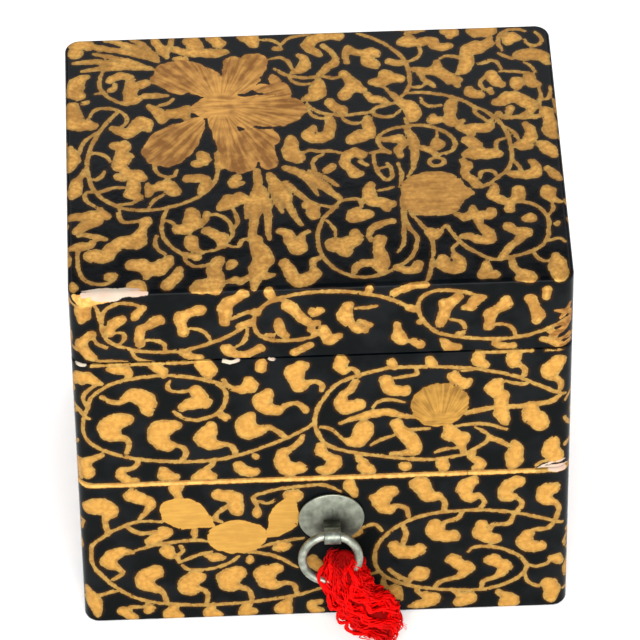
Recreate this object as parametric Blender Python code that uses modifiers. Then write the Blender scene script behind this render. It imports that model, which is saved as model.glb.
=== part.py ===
"""Stacked lacquered food box: a lid over two tiers, with a ring pull and a silk tassel.

Metres, +Z up. The origin is the centre of the lower tier's underside. The front, which
carries the ring, faces -Y, and +X is to the right of someone who looks at the front.
"""

import math

import bmesh
import bpy
import numpy as np
from mathutils import Matrix, Vector

# Box in plan
BOX_WIDTH = 0.0900
BOX_DEPTH = 0.0702
CORNER_RADIUS = 0.0028
CORNER_SEGMENTS = 6
SHARPEST_RADIUS = 0.0003

# Walls: a raised lip stands on the inner side of each tier's rim, and a thin skirt on the
# piece above comes down outside it
SKIRT_THICKNESS = 0.0009
LIP_THICKNESS = 0.0012
LIP_CLEARANCE = 0.0003
LIP_HEIGHT = 0.0026
WALL = SKIRT_THICKNESS + LIP_CLEARANCE + LIP_THICKNESS
REST_GAP = 0.0003

# Heights of the three pieces, from rim to rim, and their boards
LOWER_TIER_HEIGHT = 0.0358
UPPER_TIER_HEIGHT = 0.0300
LID_HEIGHT = 0.0166
LOWER_FLOOR_THICKNESS = 0.0022
UPPER_FLOOR_THICKNESS = 0.0020
LID_TOP_THICKNESS = 0.0024

# Softened edges
RIM_CHAMFER = 0.0005
LID_ARRIS_RADIUS = 0.0009
LID_ARRIS_SEGMENTS = 3
FOOT_ARRIS_RADIUS = 0.0005
FOOT_ARRIS_SEGMENTS = 2

# Ring plate on the lower tier's front, a little right of the middle
FITTING_OFFSET = 0.0012
EYE_BELOW_RIM = 0.0100
PLATE_DIAMETER = 0.0121
PLATE_RIM_THICKNESS = 0.0004
PLATE_CROWN = 0.0007
PLATE_STEPS = 40

# Eye: one metal strip folded round the ring, its two ends pushed through plate and wall
# and turned apart inside
EYE_REACH = 0.0052
EYE_WIDTH = 0.0031
EYE_STRIP = 0.00036
EYE_END_LENGTH = 0.0030
EYE_ARC_STEPS = 20

# Ring of round wire
RING_DIAMETER = 0.0120
RING_WIRE = 0.0016
RING_STEPS = 40
RING_WIRE_STEPS = 10
RING_REST_SWING = math.radians(9.0)

# Tassel of silk yarn looped through the ring
TASSEL_WIDTH = 0.0104
TASSEL_THICKNESS = 0.0060
TASSEL_LEAN = 0.0076
TASSEL_REACH = 0.0024
TASSEL_LOOP_RISE = 0.0056
TASSEL_HOLD_ANGLE = math.radians(18.0)
TASSEL_SIDES = 28
TASSEL_SECTIONS = 24
TASSEL_STRANDS = 7
TASSEL_STRAND_RELIEF = 0.05
TASSEL_TWIST = math.radians(70.0)

# The tassel from the top of its loop to its tip. Each row is the height above the ring's
# wire as a share of the loop's rise, the drop below the wire as a share of the way to the
# ground, then shares of the lean, the reach, the width and the thickness.
TASSEL_FORM = (
    (1.00, 0.00, 0.06, -0.75, 0.08, 0.15),
    (0.88, 0.00, 0.06, -0.75, 0.28, 0.45),
    (0.50, 0.00, 0.06, -0.67, 0.42, 0.70),
    (0.10, 0.00, 0.04, -0.17, 0.72, 0.95),
    (0.00, 0.11, 0.09, 0.04, 0.90, 1.00),
    (0.00, 0.28, 0.29, 0.04, 0.97, 1.00),
    (0.00, 0.44, 0.53, 0.04, 0.98, 0.96),
    (0.00, 0.60, 0.74, 0.10, 0.94, 0.92),
    (0.00, 0.72, 0.92, 0.27, 0.78, 0.86),
    (0.00, 0.83, 1.00, 0.50, 0.56, 0.74),
    (0.00, 0.93, 1.02, 0.75, 0.30, 0.42),
    (0.00, 0.97, 1.03, 0.90, 0.12, 0.15),
)

# Worked out from the sizes above
LOWER_BASE = 0.0
UPPER_BASE = LOWER_BASE + LOWER_TIER_HEIGHT + REST_GAP
LID_BASE = UPPER_BASE + UPPER_TIER_HEIGHT + REST_GAP
FRONT_Y = -BOX_DEPTH / 2
LIP_INSET = SKIRT_THICKNESS + LIP_CLEARANCE
SKIRT_DEPTH = LIP_HEIGHT + LIP_CLEARANCE
WIRE_RADIUS = RING_WIRE / 2
RING_RADIUS = RING_DIAMETER / 2 - WIRE_RADIUS
RING_BOW = RING_RADIUS - math.sqrt(RING_RADIUS ** 2 - (EYE_WIDTH / 2) ** 2)
RING_DROP = RING_RADIUS - RING_BOW / 2
EYE_BORE_RADIUS = WIRE_RADIUS + REST_GAP + RING_BOW / 2
EYE_OUTER_RADIUS = EYE_BORE_RADIUS + EYE_STRIP
HINGE = Vector((FITTING_OFFSET, FRONT_Y - EYE_REACH, LOWER_TIER_HEIGHT - EYE_BELOW_RIM))

LACQUER = ("black_lacquer", (0.010, 0.016, 0.028, 1.0), 0.0, 0.22)
PATINA_METAL = ("grey_metal", (0.40, 0.41, 0.37, 1.0), 1.0, 0.42)
RED_SILK = ("red_silk", (0.70, 0.010, 0.012, 1.0), 0.0, 0.70)


def clear_scene():
    for old in list(bpy.data.objects):
        bpy.data.objects.remove(old, do_unlink=True)


def make_collection(name):
    collection = bpy.data.collections.new(name)
    bpy.context.scene.collection.children.link(collection)
    return collection


def make_material(name, colour, metallic, roughness):
    """A plain Principled material with the finish's colour, metallic and roughness."""
    material = bpy.data.materials.get(name)
    if material is None:
        material = bpy.data.materials.new(name)
        material.use_nodes = True
        shader = material.node_tree.nodes["Principled BSDF"]
        shader.inputs["Base Color"].default_value = colour
        shader.inputs["Metallic"].default_value = metallic
        shader.inputs["Roughness"].default_value = roughness
        material.diffuse_color = colour
    return material


def make_object(name, mesh, collection, parent, finish=None):
    """An object in the collection, placed in its parent's frame, with one finish."""
    item = bpy.data.objects.new(name, mesh)
    collection.objects.link(item)
    item.parent = parent
    if finish is not None:
        mesh.materials.append(make_material(*finish))
    return item


def make_empty(name, collection, parent, location):
    empty = bpy.data.objects.new(name, None)
    empty.empty_display_size = 0.01
    empty.location = location
    empty.parent = parent
    collection.objects.link(empty)
    return empty


def mesh_from(bm, name):
    mesh = bpy.data.meshes.new(name)
    bm.to_mesh(mesh)
    bm.free()
    return mesh


def round_shading(mesh, sharp_angle):
    mesh.shade_smooth()
    mesh.set_sharp_from_angle(angle=sharp_angle)


def hide_cutter(cutter):
    cutter.hide_render = True
    cutter.display_type = "WIRE"


def combine(part, tool, operation):
    """A live Boolean on the part, with the exact solver."""
    modifier = part.modifiers.new(operation.lower() + "_" + tool.name, "BOOLEAN")
    modifier.operation = operation
    modifier.solver = "EXACT"
    modifier.object = tool


def corner_radius_at(inset):
    """All the walls' faces turn about one centre, so the radius shrinks with the inset."""
    return max(CORNER_RADIUS - inset, SHARPEST_RADIUS)


def rounded_block(name, inset, bottom, top, crown=(0.0, 1), foot=(0.0, 1)):
    """The box's plan, moved in by the inset, between two heights.

    crown and foot are the radius and the segments of its top and bottom edges.
    """
    height = top - bottom
    bm = bmesh.new()
    bmesh.ops.create_cube(bm, size=1.0)
    size = (BOX_WIDTH - 2 * inset, BOX_DEPTH - 2 * inset, height)
    bmesh.ops.scale(bm, vec=size, verts=bm.verts)
    bmesh.ops.translate(bm, vec=(0.0, 0.0, (top + bottom) / 2), verts=bm.verts)
    upright = [e for e in bm.edges if abs(e.verts[0].co.z - e.verts[1].co.z) > height / 2]
    round_edges(bm, upright, corner_radius_at(inset), CORNER_SEGMENTS)
    for level, (radius, segments) in ((top, crown), (bottom, foot)):
        if radius > 0.0:
            rim = [e for e in bm.edges if all(abs(v.co.z - level) < 1e-7 for v in e.verts)]
            round_edges(bm, rim, radius, segments)
    return mesh_from(bm, name)


def round_edges(bm, edges, radius, segments):
    bmesh.ops.bevel(
        bm, geom=edges, offset=radius, offset_type="OFFSET", segments=segments,
        profile=0.5, affect="EDGES", clamp_overlap=False,
    )


def centred_bar(name, width, depth, height):
    """A plain bar about its own centre."""
    bm = bmesh.new()
    bmesh.ops.create_cube(bm, size=1.0)
    bmesh.ops.scale(bm, vec=(width, depth, height), verts=bm.verts)
    return mesh_from(bm, name)


def stacking_piece(name, base, height, parts, cutters, frame, lip, skirt, cavity, crown, foot):
    """One hollow piece of the stack, standing at its base.

    lip adds the raised inner lip above the rim, skirt opens the underside round the lip
    of the piece below, and cavity is the hollow's lowest and highest level.
    """
    body = make_object(
        name, rounded_block(name, 0.0, 0.0, height, crown, foot), parts, frame, LACQUER
    )
    body.location.z = base
    steps = []
    if lip:
        steps.append(("lip", "UNION", LIP_INSET, height / 2, height + LIP_HEIGHT))
    steps.append(("cavity", "DIFFERENCE", WALL, cavity[0], cavity[1]))
    if skirt:
        steps.append(("skirt", "DIFFERENCE", SKIRT_THICKNESS, -LIP_HEIGHT, SKIRT_DEPTH))
    for label, operation, inset, bottom, top in steps:
        tool_name = name + "_" + label
        tool = make_object(
            tool_name, rounded_block(tool_name, inset, bottom, top), cutters, frame
        )
        tool.location.z = base
        hide_cutter(tool)
        combine(body, tool, operation)
    return body


def make_lid(parts, cutters, frame):
    """The lid is open below: its skirt goes round the upper tier's lip."""
    return stacking_piece(
        "lid", LID_BASE, LID_HEIGHT, parts, cutters, frame,
        lip=False, skirt=True,
        cavity=(-LIP_HEIGHT, LID_HEIGHT - LID_TOP_THICKNESS),
        crown=(LID_ARRIS_RADIUS, LID_ARRIS_SEGMENTS), foot=(0.0, 1),
    )


def make_upper_tier(parts, cutters, frame):
    """The upper tier's board sits above the lower tier's lip."""
    return stacking_piece(
        "upper_tier", UPPER_BASE, UPPER_TIER_HEIGHT, parts, cutters, frame,
        lip=True, skirt=True,
        cavity=(SKIRT_DEPTH + UPPER_FLOOR_THICKNESS, UPPER_TIER_HEIGHT + 2 * LIP_HEIGHT),
        crown=(RIM_CHAMFER, 1), foot=(0.0, 1),
    )


def make_lower_tier(parts, cutters, frame):
    """The lower tier's board is flush with its foot."""
    return stacking_piece(
        "lower_tier", LOWER_BASE, LOWER_TIER_HEIGHT, parts, cutters, frame,
        lip=True, skirt=False,
        cavity=(LOWER_FLOOR_THICKNESS, LOWER_TIER_HEIGHT + 2 * LIP_HEIGHT),
        crown=(RIM_CHAMFER, 1), foot=(FOOT_ARRIS_RADIUS, FOOT_ARRIS_SEGMENTS),
    )


def make_eye_slot(cutters, frame):
    """The slot through plate and wall, a rest gap wider than the folded strip all round."""
    depth = 2 * (WALL + PLATE_CROWN + PLATE_RIM_THICKNESS + 2 * REST_GAP)
    slot = make_object(
        "eye_slot",
        centred_bar("eye_slot", EYE_WIDTH + 2 * REST_GAP, depth, 2 * (EYE_STRIP + REST_GAP)),
        cutters, frame,
    )
    slot.location = (HINGE.x, FRONT_Y, HINGE.z)
    hide_cutter(slot)
    return slot


def make_ring_plate(parts, frame, slot):
    """A disc turned from half its section: flat behind, with a crowned face."""
    radius = PLATE_DIAMETER / 2
    rises = np.linspace(0.0, 1.0, 6)
    profile = [
        (radius * r, 0.0, PLATE_RIM_THICKNESS + PLATE_CROWN * (1.0 - r ** 2)) for r in rises
    ]
    profile += [(radius, 0.0, 0.0), (0.0, 0.0, 0.0)]
    edges = [(i, i + 1) for i in range(len(profile) - 1)]
    mesh = bpy.data.meshes.new("ring_plate")
    mesh.from_pydata([tuple(map(float, p)) for p in profile], edges, [])
    plate = make_object("ring_plate", mesh, parts, frame, PATINA_METAL)
    turn = plate.modifiers.new("turn", "SCREW")
    turn.axis = "Z"
    turn.angle = math.tau
    turn.steps = PLATE_STEPS
    turn.render_steps = PLATE_STEPS
    turn.use_merge_vertices = True
    turn.merge_threshold = 0.00001
    turn.use_smooth_shade = False
    plate.rotation_euler = (math.pi / 2, 0.0, 0.0)
    plate.location = (HINGE.x, FRONT_Y - REST_GAP, HINGE.z)
    combine(plate, slot, "DIFFERENCE")
    return plate


def eye_outline():
    """The folded strip from the side: loop, shank, and the two ends turned apart inside.

    The first coordinate runs outwards from the box's face and the second upwards.
    """
    start = math.asin(EYE_STRIP / EYE_OUTER_RADIUS)
    angles = np.linspace(math.pi - start, start - math.pi, EYE_ARC_STEPS + 1)
    loop = [
        (EYE_REACH + EYE_OUTER_RADIUS * math.cos(a), EYE_OUTER_RADIUS * math.sin(a))
        for a in angles
    ]
    inside = -WALL - REST_GAP
    end = EYE_STRIP + EYE_END_LENGTH
    lower_end = [
        (inside, -EYE_STRIP),
        (inside, -end),
        (inside - EYE_STRIP, -end),
    ]
    upper_end = [(u, -v) for u, v in reversed(lower_end)]
    return loop + lower_end + upper_end


def add_outline(curve, points):
    spline = curve.splines.new("POLY")
    spline.points.add(len(points) - 1)
    for point, (u, v) in zip(spline.points, points):
        point.co = (u, v, 0.0, 1.0)
    spline.use_cyclic_u = True


def make_ring_eye(parts, frame):
    """The strip's side outline with its bore, given the strip's width."""
    curve = bpy.data.curves.new("ring_eye", "CURVE")
    curve.dimensions = "2D"
    curve.fill_mode = "BOTH"
    curve.extrude = EYE_WIDTH / 2
    add_outline(curve, eye_outline())
    angles = np.linspace(0.0, math.tau, EYE_ARC_STEPS, endpoint=False)
    add_outline(curve, [
        (EYE_REACH + EYE_BORE_RADIUS * math.cos(a), EYE_BORE_RADIUS * math.sin(a))
        for a in angles
    ])
    eye = make_object("ring_eye", curve, parts, frame, PATINA_METAL)
    eye.rotation_euler = (math.pi / 2, 0.0, -math.pi / 2)
    eye.location = (HINGE.x, FRONT_Y, HINGE.z)
    return eye


def ring_mesh(name, wire_radius):
    """A ring of round wire, upright, hanging from a hinge axis at the mesh's origin."""
    bpy.ops.mesh.primitive_torus_add(
        major_radius=RING_RADIUS, minor_radius=wire_radius,
        major_segments=RING_STEPS, minor_segments=RING_WIRE_STEPS,
    )
    temporary = bpy.context.active_object
    mesh = temporary.data
    bpy.data.objects.remove(temporary, do_unlink=True)
    mesh.name = name
    mesh.transform(Matrix.Rotation(math.pi / 2, 4, "X"))
    mesh.transform(Matrix.Translation((0.0, 0.0, -RING_DROP)))
    mesh.transform(Matrix.Rotation(-RING_REST_SWING, 4, "X"))
    round_shading(mesh, math.radians(60))
    return mesh


def smooth_rows(rows, count):
    """A Catmull-Rom curve through every row, read at evenly spaced places."""
    rows = np.array(rows)
    padded = np.vstack([2 * rows[0] - rows[1], rows, 2 * rows[-1] - rows[-2]])
    place = np.linspace(0.0, len(rows) - 1, count)
    index = np.minimum(place.astype(int), len(rows) - 2)
    t = (place - index)[:, None]
    before, start, end, after = (padded[index + k] for k in range(4))
    return 0.5 * (
        2 * start + (end - before) * t
        + (2 * before - 5 * start + 4 * end - after) * t ** 2
        + (3 * start - before - 3 * end + after) * t ** 3
    )


def tassel_mesh():
    """The skein lofted through its sections, relative to the hinge, ridged by its strands.

    Each section is an ellipse square to the skein's middle line, whose radius swells and
    dips once for each strand. Nothing goes below the ground's rest gap.
    """
    reach = (RING_DROP + RING_RADIUS * math.cos(TASSEL_HOLD_ANGLE)) * math.sin(RING_REST_SWING)
    drop = (RING_DROP + RING_RADIUS * math.cos(TASSEL_HOLD_ANGLE)) * math.cos(RING_REST_SWING)
    hold = np.array([RING_RADIUS * math.sin(TASSEL_HOLD_ANGLE), -reach, -drop])
    fall = HINGE.z - drop - REST_GAP
    rise, sink, lean, out, width, thickness = smooth_rows(TASSEL_FORM, TASSEL_SECTIONS).T
    middle = hold + np.stack([
        lean * TASSEL_LEAN,
        -out * TASSEL_REACH,
        rise * TASSEL_LOOP_RISE - sink * fall,
    ], axis=1)
    along = np.gradient(middle, axis=0)
    along /= np.linalg.norm(along, axis=1)[:, None]
    side = np.cross(along, (0.0, -1.0, 0.0))
    side /= np.linalg.norm(side, axis=1)[:, None]
    front = np.cross(side, along)
    around = np.linspace(0.0, math.tau, TASSEL_SIDES, endpoint=False)
    turn = around[None, :] + TASSEL_TWIST * np.linspace(0.0, 1.0, TASSEL_SECTIONS)[:, None]
    ridge = 1.0 + TASSEL_STRAND_RELIEF * np.cos(TASSEL_STRANDS * turn)
    half_width = (np.maximum(width, 0.04) * TASSEL_WIDTH / 2)[:, None, None]
    half_thickness = (np.maximum(thickness, 0.06) * TASSEL_THICKNESS / 2)[:, None, None]
    points = middle[:, None, :] + ridge[..., None] * (
        half_width * np.cos(around)[None, :, None] * side[:, None, :]
        + half_thickness * np.sin(around)[None, :, None] * front[:, None, :]
    )
    points[..., 2] = np.maximum(points[..., 2], REST_GAP - HINGE.z)
    bm = bmesh.new()
    rings = [[bm.verts.new(p) for p in section] for section in points]
    for lower, upper in zip(rings[1:], rings[:-1]):
        for i in range(TASSEL_SIDES):
            j = (i + 1) % TASSEL_SIDES
            bm.faces.new((lower[i], lower[j], upper[j], upper[i]))
    bm.faces.new(rings[0])
    bm.faces.new(reversed(rings[-1]))
    bmesh.ops.recalc_face_normals(bm, faces=bm.faces)
    bmesh.ops.triangulate(bm, faces=bm.faces)
    mesh = mesh_from(bm, "tassel")
    round_shading(mesh, math.radians(60))
    return mesh


def make_ring(parts, hinge):
    return make_object("ring", ring_mesh("ring", WIRE_RADIUS), parts, hinge, PATINA_METAL)


def make_tassel(parts, cutters, hinge):
    """The skein goes right round the ring's wire, a rest gap away from it."""
    tassel = make_object("tassel", tassel_mesh(), parts, hinge, RED_SILK)
    tunnel = make_object(
        "wire_tunnel", ring_mesh("wire_tunnel", WIRE_RADIUS + REST_GAP), cutters, hinge
    )
    hide_cutter(tunnel)
    combine(tassel, tunnel, "DIFFERENCE")
    return tassel


def build():
    clear_scene()
    parts = make_collection("stacked_food_box")
    cutters = make_collection("cutters")
    frame = make_empty("food_box", parts, None, (0.0, 0.0, 0.0))
    make_lid(parts, cutters, frame)
    make_upper_tier(parts, cutters, frame)
    lower_tier = make_lower_tier(parts, cutters, frame)
    slot = make_eye_slot(cutters, frame)
    combine(lower_tier, slot, "DIFFERENCE")
    make_ring_plate(parts, frame, slot)
    make_ring_eye(parts, frame)
    hinge = make_empty("ring_hinge", parts, frame, HINGE)
    make_ring(parts, hinge)
    make_tassel(parts, cutters, hinge)


build()
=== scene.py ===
import math
from functools import partial

import bmesh
import bpy
import numpy as np
from mathutils import Matrix, Vector


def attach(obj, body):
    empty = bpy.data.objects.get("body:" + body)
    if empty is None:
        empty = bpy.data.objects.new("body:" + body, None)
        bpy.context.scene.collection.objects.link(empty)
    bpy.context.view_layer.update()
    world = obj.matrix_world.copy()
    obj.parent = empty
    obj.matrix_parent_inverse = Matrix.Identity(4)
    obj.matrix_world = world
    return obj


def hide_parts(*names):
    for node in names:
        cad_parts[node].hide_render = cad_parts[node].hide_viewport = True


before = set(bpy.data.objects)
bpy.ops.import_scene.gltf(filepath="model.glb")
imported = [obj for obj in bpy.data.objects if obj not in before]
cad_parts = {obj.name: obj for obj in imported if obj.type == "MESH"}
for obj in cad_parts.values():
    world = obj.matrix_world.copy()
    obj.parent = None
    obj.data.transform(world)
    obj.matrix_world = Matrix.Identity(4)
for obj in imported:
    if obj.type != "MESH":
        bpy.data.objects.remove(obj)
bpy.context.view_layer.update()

# Stage: a white tabletop under an even white sky, with one broad soft light low in front,
# so that the fronts are brighter than the lid. The camera stands off at the photograph's
# angle with a long lens.
AIM = Vector((0.00038, -0.0100, 0.05169))
CAMERA_ELEVATION = math.radians(43.03)
CAMERA_AZIMUTH = math.radians(-1.72)
CAMERA_ROLL = math.radians(-0.81)
CAMERA_DISTANCE = 1.0746
PICTURE_SIDE = 640
FOCAL_PIXELS = 5841.6
TABLETOP_SIDE = 8.0
SKY_STRENGTH = 0.84
FRONT_LIGHT_WATTS = 19.0
REAR_LIGHT_WATTS = 1.6


def linear(code):
    """An sRGB hex colour as linear RGBA: c/12.92 below 0.04045, else ((c+0.055)/1.055)^2.4."""
    srgb = np.array([int(code[i:i + 2], 16) for i in (1, 3, 5)]) / 255
    light = np.where(srgb <= 0.04045, srgb / 12.92, ((srgb + 0.055) / 1.055) ** 2.4)
    return (*map(float, light), 1.0)


def new_material(name, **constants):
    """A Principled material with its constant sockets set, and its node tree and shader."""
    material = bpy.data.materials.new(name)
    material.use_nodes = True
    shader = material.node_tree.nodes["Principled BSDF"]
    for socket, value in constants.items():
        shader.inputs[socket.replace("_", " ")].default_value = value
    return material, material.node_tree, shader


def add_softbox(name, place, aim, width, height, watts):
    """A rectangular area light at a place, turned to an aim point."""
    lamp = bpy.data.lights.new(name, "AREA")
    lamp.shape = "RECTANGLE"
    lamp.size, lamp.size_y, lamp.energy = width, height, watts
    box = bpy.data.objects.new(name, lamp)
    bpy.context.scene.collection.objects.link(box)
    way = Vector(aim) - Vector(place)
    box.matrix_world = Matrix.Translation(place) @ way.to_track_quat("-Z", "Y").to_matrix().to_4x4()


scene = bpy.context.scene
scene.view_settings.view_transform = "Standard"
scene.view_settings.look = "None"

sky = bpy.data.worlds.new("white_sky")
sky.use_nodes = True
sky.node_tree.nodes["Background"].inputs["Color"].default_value = linear("#FBFCFF")
sky.node_tree.nodes["Background"].inputs["Strength"].default_value = SKY_STRENGTH
scene.world = sky

add_softbox(
    "front_softbox", place=(0.02, -0.95, 0.42), aim=(0, 0, 0.04), width=0.9, height=0.5,
    watts=FRONT_LIGHT_WATTS,
)
# A low panel behind the box, which the lid's far part mirrors towards the camera
add_softbox(
    "rear_panel", place=(0.0, 0.44, 0.38), aim=(0, 0.03, 0.083), width=0.7, height=0.16,
    watts=REAR_LIGHT_WATTS,
)

half = TABLETOP_SIDE / 2
tabletop_mesh = bpy.data.meshes.new("tabletop")
tabletop_mesh.from_pydata(
    [(-half, -half, 0), (half, -half, 0), (half, half, 0), (-half, half, 0)], [], [(0, 1, 2, 3)]
)
tabletop = bpy.data.objects.new("tabletop", tabletop_mesh)
scene.collection.objects.link(tabletop)
white_paper, _, _ = new_material(
    "white_paper", Base_Color=linear("#FAFAFA"), Roughness=0.9, Specular_IOR_Level=0.1
)
tabletop_mesh.materials.append(white_paper)

back = Vector((
    math.sin(CAMERA_AZIMUTH) * math.cos(CAMERA_ELEVATION),
    -math.cos(CAMERA_AZIMUTH) * math.cos(CAMERA_ELEVATION),
    math.sin(CAMERA_ELEVATION),
))
level = (-back).cross(Vector((0, 0, 1))).normalized()
upright = level.cross(-back)
right = level * math.cos(CAMERA_ROLL) + upright * math.sin(CAMERA_ROLL)
above = upright * math.cos(CAMERA_ROLL) - level * math.sin(CAMERA_ROLL)
lens = bpy.data.cameras.new("camera")
lens.sensor_width = 36.0
lens.lens = FOCAL_PIXELS / PICTURE_SIDE * lens.sensor_width
lens.clip_start, lens.clip_end = 0.05, 20.0
camera = bpy.data.objects.new("camera", lens)
scene.collection.objects.link(camera)
camera.matrix_world = (
    Matrix.Translation(AIM + back * CAMERA_DISTANCE)
    @ Matrix((right, above, back)).transposed().to_4x4()
)
scene.camera = camera

# Lower tier: a deep tray of thin boards, lacquered black inside and out, with a lip that
# the tier above sits round. The front is painted by brush with gold powder on lacquer: vines
# in long ellipses, each with rows of lobed leaves and a few fruits. Its rim is gilt.
PLAN_HALF = (45.0, 35.1)
CORNER_RADIUS = 2.8
LIP_OUTSIDE = 1.2
INNER_WALL = 2.4
LOWER_RIM = 35.8
LOWER_LIP_TOP = 38.4
LOWER_FLOOR = 2.2
FOOT_ARRIS = 0.5
WALL_ARRIS = 0.15
RIM_CHAMFER = 0.5
LIP_ARRIS = 0.25
GRID_STEP = 0.32
FIELD_REACH = 1.2
VINE_HALF_WIDTH = 0.43
VINE_TIP_SHARE = 0.75
BRUSH_SPREAD = 0.08
BRUSH_UNEVENNESS = 0.16
WEB_SHARE = 0.85
WEB_LEAST = 0.72
LINKS_AT_ONCE = 8
LEAF_MOST_POINTS = 44
SCRAP_POINTS = 8
CHIP_DEPTH = 0.18
CHIP_SLOPE_WIDTH = 0.4
SHARP_ANGLE = math.radians(40)
# Where the painting stops on the sides and on the back, from the face's middle
SIDE_END = 35.5
BACK_END = 45.2

LOWER_VINES = (
    (-30, 25.8, -34, 26.1, -37, 25, -40.3, 22.9, -42.9, 20.2, -43.3, 17.5, -43, 15, -41.5, 12.3,
     -39, 9.2, -36.5, 6.8, -33, 5, -29, 4.1, -24, 3.6, -19, 3.6, -14, 3.9, -9, 4.6, -5, 5.4, -1, 6.9),
    (3, 32, 0, 33.8, -4, 33.7, -8, 33.3, -11, 32.4, -13, 31.4, -12.7, 30, -12.3, 28.8),
    (-12, 30.3, -10.5, 29.6, -9.2, 30.3),
    (-35, 18.5, -32, 19.6, -28, 20.4, -24, 20.7, -21, 20.2),
    (-16.5, 17.3, -12, 16.8, -8.5, 15.3, -5.2, 12.6),
    (-12.3, 18.2, -9, 19.3, -6, 20, -4, 20.3),
    (-27, 15, -24, 16.6, -21, 17.6),
    (-26.5, 14.3, -25.5, 13.2, -23, 12.9, -20, 13.4, -17.5, 14.7, -16, 16.1),
    (44, 21.6, 42, 22.6, 39, 23.7, 36, 24.7, 32, 25.6, 27, 26, 22, 25.8, 18, 25, 15, 23.6,
     12, 21.2, 10, 18.5, 9.2, 15.5, 9.5, 12, 11, 9.5, 14.5, 7.3, 19, 5.9, 24, 5.2, 29, 5.1,
     33, 6.2, 36.3, 8.5, 37.3, 11, 36, 13.5, 33, 15.6, 30, 16.4, 27.5, 16.3, 26.5, 15.2),
    (37.6, 11.3, 39, 10.7, 41, 11.3, 42, 12.6),
    (37, 9.5, 37.5, 7, 39, 5.7, 40.8, 5.2),
    (5.9, 21.6, 7, 22.5, 8.2, 23.1, 9.5, 23, 10.5, 21.4),
    (-1, 6.9, 1.6, 8.5, 4.4, 9.6, 7.2, 9.9, 9.7, 10.6),
)
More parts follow.
